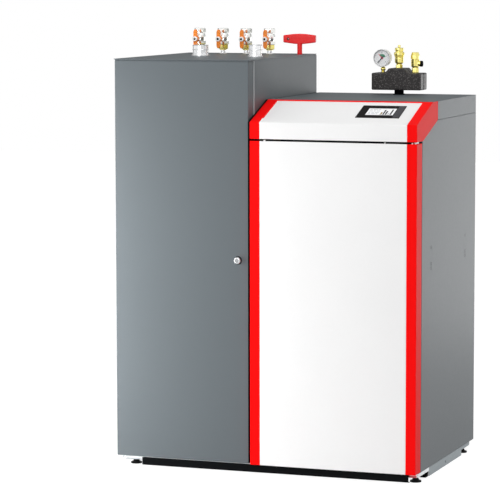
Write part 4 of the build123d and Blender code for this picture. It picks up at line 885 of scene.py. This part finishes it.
def numeral(text, size, at):
    """A figure as a flat mesh that faces the front, centred on a place in millimetres."""
    curve = bpy.data.curves.new("figure", "FONT")
    curve.body = text
    curve.size = size
    curve.extrude = 0.15
    curve.align_x, curve.align_y = "CENTER", "CENTER"
    writer = bpy.data.objects.new("figure", curve)
    mesh = bpy.data.meshes.new_from_object(writer)
    form = bmesh.new()
    form.from_mesh(mesh)
    bpy.data.objects.remove(writer)
    bpy.data.meshes.remove(mesh)
    bmesh.ops.rotate(form, cent=(0, 0, 0), matrix=Matrix.Rotation(math.radians(90), 3, "X"), verts=form.verts)
    bmesh.ops.translate(form, vec=at, verts=form.verts)
    return form


for number in range(5):
    angle = math.radians(225 - number * 67.5)
    away = Vector((19.0 * math.cos(angle), -dial_height - 0.1, 19.0 * math.sin(angle)))
    piece(numeral(str(number), 6.0, dial_middle + away), f"gauge_number_{number}", dark_print)

sector = bow((dial_middle.x, dial_middle.z), 14.5, 20, 130, 16) + bow((dial_middle.x, dial_middle.z), 3, 130, 20, 8)
piece(drawn(bmesh.new(), sector, "Y", dial_middle.y - 28.25, 0.3), "gauge_green", green_print)
piece(on_dial(dial_block(2, 20, 1.0, 28.3, 28.7), 131), "gauge_set_hand", crimson_print)
hub = turned(bmesh.new(), [(0, 28.2), (5.0, 28.2), (5.0, 28.8), (3.0, 29.0), (0, 29.0)], dial_middle, "Y", 28)
piece(hub, "gauge_set_hub", crimson_print)

taper = [(-8, -1.8), (-3, -1.7), (2, -1.6), (16, -1.3), (18.2, -2.3), (20.6, -2.3), (23, 0)]
taper += [(across, -rise) for across, rise in reversed(taper[:-1])]
hand = [(dial_middle.x + across, dial_middle.z + rise) for across, rise in taper]
hand = drawn(bmesh.new(), hand, "Y", dial_middle.y - 29.9, 0.7)
turned(hand, [(0, 29.1), (2.4, 29.1), (2.4, 29.7), (1.6, 30.0), (0, 30.0)], dial_middle, "Y", 28)
turned(hand, [(0, 23.2), (1.0, 23.2), (1.0, 29.4), (0, 29.4)], dial_middle, "Y", 16)
piece(on_dial(hand, 228), "gauge_hand", dark_print, "pointer", ("gauge_pointer",))

connector = [(0, 0), (8.5, 0), (8.5, 2.2), (5.5, 3.0)] + bow((0, 12), 9, -50, 55, 10)
connector += [(5.0, 20), (5.0, 26), (0, 26)]
manifold_y = low.y + 21.0
MANIFOLD_TOP = 1362
piece(turned(bmesh.new(), connector, (dial_middle.x, manifold_y, MANIFOLD_TOP), steps=40), "gauge_stem", brass)
print("gauge parts", [name for name in seen if name.startswith("gauge")])

# %% [markdown]
# ## Air vent
#
# The automatic air vent lets trapped air out of the boiler. It is turned from brass: a hexagon, a slim body, a
# wide knurled ring, a domed head and a small loose cap. The many steps of its outline are what makes it read as a
# bought fitting, so they are all in the outline that is spun.

# %% Air vent
low, high = corner_box("air_vent_body")
vent_at = Vector(((low.x + high.x) / 2, (low.y + high.y) / 2, low.z))
vent = nut(bmesh.new(), 22, 0, 28, vent_at, chamfer=1.4, twist=30)
vent_outline = [(0, 27), (9.5, 27), (9.5, 30.5), (13, 32.5), (15.3, 35.5), (15.7, 42), (15.7, 50), (14.6, 51.6)]
vent_outline += [(14.6, 53.4), (16.6, 54.6), (16.6, 57), (15.2, 58.2), (17.8, 60), (18.7, 62), (18.7, 70)]
vent_outline += [(17.8, 72), (14.2, 73), (13.6, 74.4), (13.6, 75.6), (15.2, 76.8), (15.6, 79), (15.6, 84.5)]
vent_outline += [(15.0, 86.8), (13.5, 88.0), (2.5, 88.8), (2.5, 95), (0, 95)]
turned(vent, vent_outline, vent_at, steps=56)
for number in range(18):
    rib = block(bmesh.new(), (18.0, -0.8, 63), (18.95, 0.8, 69), 0.2, 1)
    turn_about = Matrix.Rotation(math.tau * number / 18, 3, "Z")
    bmesh.ops.rotate(rib, cent=(0, 0, 0), matrix=turn_about, verts=rib.verts)
    bmesh.ops.translate(rib, vec=vent_at, verts=rib.verts)
    gather(vent, rib)
piece(vent, "vent", brass, stands_for=("air_vent_body",), sharp=30)
low, high = corner_box("air_vent_cap")
cap_outline = [(2.6, 0.2), (4.8, 0.5), (5.2, 1.2), (5.2, 5.0), (4.6, 7.6), (3.4, 8.7), (2.6, 8.7)]
cap = turned(bmesh.new(), cap_outline, (vent_at.x, vent_at.y, low.z), steps=28, closed=True)
piece(cap, "vent_top_cap", brass, "vent_cap", ("air_vent_cap",))
print("vent faces", seen["vent"])

# %% [markdown]
# ## Safety valve
#
# The safety valve opens when the pressure is too high and blows out of its side outlet. A brass hexagon and body
# carry an outlet nozzle towards the right, whose bore is closed by a black disc and sleeve that paint its shade,
# and a tall eight-sided cap that a plumber turns to test it.

# %% Safety valve
low, high = corner_box("safety_valve_body")
relief_at = Vector((low.x + 15.0, (low.y + high.y) / 2, low.z))
relief = nut(bmesh.new(), 22, 0, 17, relief_at, chamfer=1.4, twist=30)
barrel = [(0, 16), (10.4, 16), (10.4, 18.5), (13.2, 20.5), (14.9, 24), (14.9, 45)]
barrel += [(13.6, 46.4), (13.6, 48.5), (0, 48.5)]
turned(relief, barrel, relief_at, steps=48)
nozzle_at = relief_at + Vector((0, 0, 32))
nozzle = [(10.2, 8), (9.4, 15), (9.8, 17), (10.4, 18), (10.4, 20.5), (8.6, 20.5), (8.6, 12), (8.6, 8)]
turned(relief, nozzle, nozzle_at, "X", 40, closed=True)
turned(relief, [(0, 47), (4, 47), (4, 66), (0, 66)], relief_at, steps=24)
piece(relief, "relief_valve", brass, stands_for=("safety_valve_body",), sharp=30)
# A black disc and sleeve in the nozzle paint the shade inside its bore.
bore = turned(bmesh.new(), [(0, 24.5), (8.7, 24.5), (8.7, 25.4), (0, 25.4)], nozzle_at, "X", 28)
turned(bore, [(8.2, 20), (10.7, 20), (10.7, 26.4), (10.1, 27), (8.2, 27)], nozzle_at, "X", 40, closed=True)
piece(bore, "relief_outlet_painted_shade", black_rubber)

low, high = corner_box("safety_valve_cap")
cap_at = Vector((relief_at.x, relief_at.y, low.z))
cap = nut(bmesh.new(), 30, 4.2, 23.8, (0, 0, 0), sides=8, chamfer=0, twist=22.5)
waist = 11.0
CAP_TAPER = 0.0195
parts = list(cap.verts) + list(cap.edges) + list(cap.faces)
bmesh.ops.bisect_plane(cap, geom=parts, plane_co=(0, 0, waist), plane_no=(0, 0, 1))
for vert in cap.verts:
    if vert.co.z > waist and vert.co.xy.length > 5:
        vert.co.xy *= 1 - CAP_TAPER * (vert.co.z - waist)
round_off(cap, sharp_edges(cap, lambda place: place.xy.length > 5, 10), 0.6, 2)
bmesh.ops.translate(cap, vec=cap_at, verts=cap.verts)
piece(cap, "relief_twist_cap", brass, "relief_cap", ("safety_valve_cap",), sharp=18)
print("safety valve from", [round(value) for value in relief_at])

# %% [markdown]
# ## The foam block
#
# The safety group sits in a block of pressed foam beads, in a front and a rear half that are clipped together, so
# a fine joint runs round it. The block has a crown in the middle. Its corners and its rims are rounded, and a thin
# lip lies round the foot of each fitting.

# %% Foam halves
low, high = corner_box("insulation_block")
foam_middle = (low + high) / 2
shoulder_z = high.z - 17.0
profile = [(low.x, low.z), (high.x, low.z), (high.x, shoulder_z), (foam_middle.x + 43, shoulder_z)]
profile += [(foam_middle.x + 28, high.z), (foam_middle.x - 28, high.z), (foam_middle.x - 43, shoulder_z)]
profile += [(low.x, shoulder_z)]


def foam_half(name, near, far, stands_for=()):
    form = drawn(bmesh.new(), profile, "Y", near, far - near)
    round_off(form, sharp_edges(form), 4.5, 4)
    piece(form, name, foam_beads, stands_for=stands_for, sharp=60)


foam_half("foam_front", low.y, foam_middle.y - 0.6, ("insulation_block",))
foam_half("foam_rear", foam_middle.y + 0.6, high.y)
for number, (x, radius) in enumerate(((dial_middle.x, 13.0), (vent_at.x, 15.5), (relief_at.x, 17.0)), start=1):
    at = (x, foam_middle.y, (high.z if number == 2 else shoulder_z) - 0.4)
    recess = ring_of(bmesh.new(), radius - 3.2, radius, 1.2, at, steps=36, round_edge=0.5)
    piece(recess, f"foam_port_lip_{number}", foam_beads)
at = (foam_middle.x, foam_middle.y, corner_box("boiler_lid")[1].z + 0.1)
riser = ring_of(bmesh.new(), 17.1, 22.0, 3.0, at, round_edge=1)
piece(riser, "riser_rosette", black_plastic)
print("foam", [round(value) for value in high - low])

# %% [markdown]
# ## The control panel
#
# The control panel lies in the hood's slope. Its parts are built flat and then laid on the slope by one matrix,
# whose place is read from the screen's solid. The surround is a plate with a window: two rectangles are bridged,
# drawn up and bevelled. The screen shows plain blocks and bars, as a display does, and no words.

# %% Surround and screen
low, high = corner_box("display_glass")
HOOD_FALL, HOOD_RUN = 68.0, 186.0
slope = math.atan2(HOOD_FALL, HOOD_RUN)
screen_at = (low + high) / 2
on_slope = Matrix.Translation(screen_at) @ Matrix.Rotation(slope, 4, "X")


def laid(form):
    bmesh.ops.transform(form, matrix=on_slope, verts=form.verts)
    return form


def window_plate(outer, inner, low_height, high_height):
    """A rectangular plate with a window, both given as half sizes."""
    form = bmesh.new()
    edges = []
    for half_width, half_height in (outer, inner):
        corners = [(-half_width, -half_height), (half_width, -half_height), (half_width, half_height)]
        corners.append((-half_width, half_height))
        ring = [form.verts.new((x, y, low_height)) for x, y in corners]
        edges += [form.edges.new(pair) for pair in zip(ring, ring[1:] + ring[:1])]
    faces = bmesh.ops.bridge_loops(form, edges=edges)["faces"]
    lift(form, faces, (0, 0, high_height - low_height))
    return form


surround = window_plate((77, 52), (49, 29), 0.1, 1.6)
round_off(surround, sharp_edges(surround, lambda place: place.z > 1), 0.9, 3)
gather(surround, window_plate((69, 44), (49, 29), -11.9, 0.3))
piece(laid(surround), "display_surround", black_plastic, stands_for=("display_bezel",))
# A grey strip on the surround's right side paints the sheen that the glossy surround shows there.
strip = block(bmesh.new(), (52.5, -49.5, 1.5), (75, 49.5, 1.85), 0.15, 1)
piece(laid(strip), "display_painted_sheen", painted_sheen_strip)
glass = block(bmesh.new(), (-48.7, -28.7, -1.0), (48.7, 28.7, 1.0), 0.3, 1)
piece(laid(glass), "display_screen", screen_white, stands_for=("display_glass",))
print("slope", round(math.degrees(slope), 2), "degrees")

# %% Blocks and bars on the screen
pale, dark, warm = bmesh.new(), bmesh.new(), bmesh.new()
for row, widths in enumerate(((9, 14, 8), (12, 7, 11), (7, 9, 14), (10, 12, 6))):
    left = -43.0
    for width in widths:
        block(pale, (left, 15.5 - row * 12, 1.0), (left + width, 20.5 - row * 12, 1.15))
        left += width + 3.5
block(pale, (-44, 23.6, 1.0), (44, 26.0, 1.15))
for number, (tall, form) in enumerate(((20, warm), (38, dark), (30, dark), (14, pale), (43, dark))):
    x = 2.0 + number * 8.4
    block(form, (x, -23, 1.0), (x + 5.6, -23 + tall, 1.15))
block(dark, (0, -26.2, 1.0), (44, -25.0, 1.15))
for form, name, finish in ((pale, "pale", screen_pale), (dark, "dark", screen_dark), (warm, "warm", screen_warm)):
    piece(laid(form), "screen_" + name, finish)
print("screen", [name for name in seen if name.startswith("screen")])

# %% [markdown]
# ## Edges of the hood
#
# A grey strip lies on the hood's top band, so that only a thin line of red shows between it and the white slope.
# A black strip paints the shade in the gap between the two cabinets: it follows the hood's side profile, a little
# inside it, and runs back along the lid. Another one paints the shade on the store door's edge, and a third the
# shade in the gap on top of the boiler's door.

# %% Grey strip and black strips of painted shade
def strip_of(name, finish, low, high, radius, body="cabinet"):
    """A straight strip with rounded edges, between two corners."""
    piece(block(bmesh.new(), low, high, radius), name, finish, body)


hood_low, hood_high = corner_box("hood_frame")
lid_low, lid_high = corner_box("boiler_lid")
slope_top_y = hood_low.y + HOOD_RUN
kink_z = hood_high.z - HOOD_FALL
near = (hood_low.x + 0.4, slope_top_y + 2.2, hood_high.z - 0.2)
far = (hood_high.x - 0.4, lid_low.y + 1.5, hood_high.z + 0.7)
strip_of("hood_top_strip", grey_coat, near, far, 0.4)

gap_shade_profile = [(hood_low.y + 1.5, hood_low.z + 2), (hood_low.y + 1, kink_z), (slope_top_y, hood_high.z - 0.8)]
gap_shade_profile += [(lid_high.y - 6, hood_high.z - 0.8), (lid_high.y - 6, hood_high.z - 40)]
gap_shade_profile += [(hood_low.y + 90, hood_low.z + 2)]
gap = (corner_box("store_right_side_panel")[1].x + 0.3, hood_low.x - 0.5)
gap_shade = drawn(bmesh.new(), gap_shade_profile, "X", gap[0], gap[1] - gap[0])
# A black strip in the gap between the cabinets paints the shade there.
piece(gap_shade, "cabinet_gap_shade", black_rubber)

door_low, door_high = corner_box("store_door")
near = (door_high.x - 1.4, door_low.y - 0.5, door_low.z + 3)
far = (door_high.x + 1.6, door_high.y - 2, kink_z - 3)
# A black strip on the store door's edge paints the shade in the gap beside it.
strip_of("store_door_edge_shade", black_rubber, near, far, 0.5, "store_door")
panel_low, panel_high = corner_box("door_panel")
near = (hood_low.x + 2.5, panel_low.y + 3, panel_high.z - 0.2)
far = (hood_high.x - 28, panel_high.y - 5, panel_high.z + 1.2)
# A black strip on the boiler door's top paints the shade in the gap under the hood.
strip_of("door_top_gap_shade", black_rubber, near, far, 0.5, "boiler_door")
print("gap between the cabinets", [round(value, 1) for value in gap])

# %% Bumpers on the boiler's door
for number, (x, width) in enumerate(((9.0, 6.0), (436.0, 3.0), (531.0, 4.0), (543.0, 3.5)), start=1):
    bumper = block(
        bmesh.new(),
        (x - width / 2, panel_low.y + 1.0 if number < 3 else panel_low.y + 2.5, panel_high.z - 0.1),
        (x + width / 2, panel_low.y + 9, panel_high.z + 4.4),
        0.9,
        3,
    )
    piece(bumper, f"door_bumper_{number}", white_plastic, "boiler_door")
print("bumpers on the door's top")

# %% [markdown]
# ## Seams of the store
#
# The store's top plate and its side wall meet the door across narrow seams. A strip in the cabinet's grey fills
# each and paints over the shade in it, and a paler strip behind the door's edge paints a light line there, so that
# the seams don't read as black gaps.

# %% Strips of painted light in the seams
top_low, top_high = corner_box("store_top_panel")
side_low, side_high = corner_box("store_right_side_panel")
near = (top_low.x + 3, top_low.y + 2.0, side_high.z - 0.4)
far = (top_high.x - 0.9, side_low.y + 1, top_low.z + 3.1)
# Grey strips fill the seams and paint over the shade in them.
strip_of("store_top_seam_painted_light", grey_coat, near, far, 0.3)
near = (top_high.x - 4.5, side_low.y, side_high.z - 0.1)
far = (top_high.x - 0.9, side_high.y - 3, top_low.z + 3.1)
strip_of("store_side_seam_painted_light", grey_coat, near, far, 0.3)
near = (top_high.x - 7, door_high.y + 1.2, door_low.z + 2)
far = (top_high.x - 0.1, side_low.y - 0.1, door_high.z)
# A pale strip paints a light line where the door's gap would be in shade.
strip_of("store_door_seam_painted_light", painted_seam_light, near, far, 0.6)
print("seams filled")

# %% [markdown]
# ## The lock
#
# A cam lock closes the store. What shows is the rounded rim of its barrel and the face of its plug, with an
# upright key slot. The plug turns with the cam, so it is a piece of its own.

# %% Lock rim and plug
low, high = corner_box("lock_barrel")
lock_at = Vector(((low.x + high.x) / 2, 0, (low.z + high.z) / 2))
face_y = door_low.y
rim = [(7.05, 0), (12, 0), (12, 7.5), (11.2, 9.6), (9.4, 10.8), (7.9, 11), (7.05, 10.4)]
barrel = turned(bmesh.new(), rim, (lock_at.x, face_y, lock_at.z), "Y", 48, closed=True)
shank_length = high.y - face_y
shank = [(7.05, -shank_length), (9.5, -shank_length), (9.5, 0.5), (7.05, 0.5)]
turned(barrel, shank, (lock_at.x, face_y, lock_at.z), "Y", 40, closed=True)
piece(barrel, "lock_rim", stainless, "store_door", ("lock_barrel",))
# A black ring round the rim paints the shadow about it.
rim_shadow = ring_of(bmesh.new(), 9.6, 14.2, 0.8, (lock_at.x, face_y, lock_at.z), "Y", 40, 0.3)
piece(rim_shadow, "lock_rim_shadow", black_rubber, "store_door")

key = [(-0.9, -5.2), (0.9, -5.2), (2.2, 0), (0.9, 5.2), (-0.9, 5.2), (-2.2, 0)]
key = [(lock_at.x + across, lock_at.z + rise) for across, rise in key]
disc = [(lock_at.x + across, lock_at.z + rise) for across, rise in bow((0, 0), 6.95, 0, 350, 35)]
plug = cut_plate(bmesh.new(), [disc, key], face_y - 10.6, 4)
round_off(plug, sharp_edges(plug, lambda place: math.hypot(place.x - lock_at.x, place.z - lock_at.z) > 6), 0.5, 2)
piece(plug, "lock_plug", bare_steel, "lock_cam", slot="nickel")
# A black block behind the key slot paints the shade inside it.
slot_shade = block(
    bmesh.new(), (lock_at.x - 3, face_y - 7, lock_at.z - 5.2), (lock_at.x + 3, face_y - 6.4, lock_at.z + 5.2)
)
piece(slot_shade, "lock_slot_shade", black_rubber, "lock_cam")
print("lock at", [round(value) for value in lock_at])

# %% [markdown]
# ## The frame's rails
#
# The side rail is a darker, duller zinc than its front end and the beams. It is one face with the shallow
# end in front of it, so the sheet is cut there by a plane and the faces behind the cut get the second finish.

# %% Rails and what shows under them
rail = bpy.data.objects["base_frame_folded"]
rail.data.materials.append(rail_zinc)
rail_step = -0.235
form = bmesh.new()
form.from_mesh(rail.data)
parts = list(form.verts) + list(form.edges) + list(form.faces)
bmesh.ops.bisect_plane(form, geom=parts, plane_co=(0, rail_step, 0), plane_no=(0, 1, 0))
for face in form.faces:
    if face.normal.x > 0.7 and face.calc_center_median().y > rail_step:
        face.material_index = 1
form.to_mesh(rail.data)
form.free()

rail_high = corner_box("base_frame")[1]
plug_at = (rail_high.x - 3.4, -27.5, rail_high.z - 17)
# A black disc in the rail's hole paints the shade inside it.
disc = turned(bmesh.new(), [(0, 0), (6.5, 0), (6.5, 0.6), (0, 0.6)], plug_at, "X", 24)
piece(disc, "rail_hole_shadow", black_rubber)
# A black wedge lies under the rail's front end.
stop = drawn(bmesh.new(), [(-266, 3), (-237, 3), (-237, 21), (-246, 21)], "X", rail_high.x - 26, 24)
round_off(stop, sharp_edges(stop), 1.5, 2)
piece(stop, "rail_black_wedge", black_rubber)
print("rail cut at", rail_step)

# %% [markdown]
# ## Lugs on the boiler's side
#
# The side sheet has small pressed recesses with a bright tongue, where the sheet hooks onto the frame inside. A dark
# frame round each tongue paints the shade in the recess.

# %% Side lugs
side = corner_box("boiler_right_side_panel")[1].x
for number, (y, z) in enumerate(((y, z) for y in (-224, 206) for z in (791, 734, 719)), start=1):
    rim = window_plate((7.5, 4.5), (5.6, 2.7), -0.9, 0.0)
    to_side = Matrix.Translation((side, y, z)) @ Matrix.Rotation(math.radians(90), 4, "Y")
    to_side = to_side @ Matrix.Rotation(math.radians(90), 4, "Z")
    bmesh.ops.transform(rim, matrix=to_side, verts=rim.verts)
    # A dark frame round the tongue paints the shade in the pressed recess; the sheet there is grey.
    piece(rim, f"side_lug_painted_shade_{number}", dark_print, slot="grey_paint")
    tongue = block(bmesh.new(), (side - 1.0, y - 5.0, z - 2.2), (side - 0.05, y + 5.0, z + 2.2), 0.5)
    piece(tongue, f"side_lug_{number}", bright_zinc)
print("lugs", number)

# %% [markdown]
# ## Floor and light
#
# The picture has a plain white background. The floor and the world are white to the camera, and to rays that
# metal or glass mirror, while the light on the object stays at a plain level. Five soft dark bands in the world do
# what a studio's black flags do: only mirroring rays see them, and they draw the dark edges of round metal. They
# are fixed in the room, at angles counted from the main view. A slim lamp on the left and a tall one far back on
# the right brighten the sheets towards their outer edges, and two wide ones light the front and the tops.


# %% Floor, world and lamps
def shown(finish):
    """One where a ray comes from the camera, a mirror or a glass, and nought for the light on surfaces."""
    path = finish.nodes.new("ShaderNodeLightPath")
    rays = [Wire(finish, path.outputs[name]) for name in ("Is Camera Ray", "Is Glossy Ray", "Is Transmission Ray")]
    return rays[0].most(rays[1]).most(rays[2])


def flags(finish):
    """Soft dark bands round the room, which only mirroring rays see."""
    bands = ((-124, 7, 0.25), (-24, 5, 0.72), (22, 4, 0.85), (117, 8, 0.2), (180, 22, 0.3))
    towards_camera = math.degrees(math.atan2(-ahead.y, -ahead.x))
    stops = [(0.0, 1.0)]
    for turn, half_width, tone in sorted(bands, key=lambda band: (towards_camera + band[0]) % 360 - 180):
        middle = ((towards_camera + turn + 180) % 360) / 360
        edge = half_width / 360
        stops += [(middle + way * edge, shade) for way, shade in ((-1.6, 1.0), (-1, tone), (1, tone), (1.6, 1.0))]
    place = finish.node("ShaderNodeTexCoord", output="Generated")
    round_about = finish.node("ShaderNodeTexGradient", {"gradient_type": "RADIAL"}, {"Vector": place}, output=1)
    return finish.node("ShaderNodeValToRGB", {"stops": sorted(stops)}, {"Fac": round_about})


AMBIENT = 0.56
world = bpy.data.worlds.new("white_room")
bpy.context.scene.world = world
room = Finish(world)
path = room.nodes.new("ShaderNodeLightPath")
mirrored = Wire(room, path.outputs["Is Glossy Ray"])
tone = room.blended((1, 1, 1), flags(room), mirrored)
room.feed(room.nodes["Background"], {"Color": tone, "Strength": AMBIENT + shown(room) * (1 - AMBIENT)})

floor_finish = Finish(bpy.data.materials.new("pale_floor"))
cloud = floor_finish.noise(3.0, 3.0)
floor_finish.surface(Base_Color=floor_finish.tinted((0.86, 0.86, 0.86), 0.98 + cloud * 0.03), Roughness=0.9)
PAPER, PAPER_SHARE = 1.42, 0.6
paper = floor_finish.node("ShaderNodeEmission", {}, {"Color": (1, 1, 1), "Strength": PAPER})
mix = floor_finish.nodes.new("ShaderNodeMixShader")
floor_finish.links.new(floor_finish.nodes["Principled BSDF"].outputs[0], mix.inputs[1])
floor_finish.feed(mix, {0: shown(floor_finish) * PAPER_SHARE, 2: paper})
floor_finish.links.new(mix.outputs[0], floor_finish.nodes["Material Output"].inputs[0])

ground = bmesh.new()
bmesh.ops.create_grid(ground, x_segments=1, y_segments=1, size=14.0)
floor_mesh = bpy.data.meshes.new("floor")
ground.to_mesh(floor_mesh)
ground.free()
floor_mesh.materials.append(floor_finish.owner)
floor = bpy.data.objects.new("floor", floor_mesh)
bpy.context.scene.collection.objects.link(floor)


def soft_lamp(name, at, towards, size, power):
    data = bpy.data.lights.new(name, "AREA")
    data.shape = "RECTANGLE"
    data.size, data.size_y = size
    data.energy = power
    lamp = bpy.data.objects.new(name, data)
    lamp.location = at
    lamp.rotation_euler = (Vector(towards) - Vector(at)).to_track_quat("-Z", "Y").to_euler()
    lamp.visible_camera = False
    bpy.context.scene.collection.objects.link(lamp)
    return lamp


lamps = [
    soft_lamp("left_lamp", (-0.98, -0.78, 0.66), (-0.55, -0.4, 0.66), (0.14, 1.3), 13),
    soft_lamp("front_lamp", (-0.3, -3.5, 2.2), (0.1, 0.0, 0.8), (2.2, 1.6), 30),
    soft_lamp("top_lamp", (0.35, -0.6, 3.1), (0.3, 0.0, 1.2), (1.4, 1.2), 12),
    soft_lamp("right_lamp", (1.35, 3.0, 0.75), (0.55, 0.35, 0.6), (0.6, 1.5), 10),
]
print("lamps", [(lamp.name, lamp.data.energy) for lamp in lamps])

# %% [markdown]
# ## The end
#
# The dressed object has to keep the drawing's size. Here the pieces and their faces are counted and printed.

# %% Count the pieces
print("pieces", len(seen), "faces", sum(seen.values()))
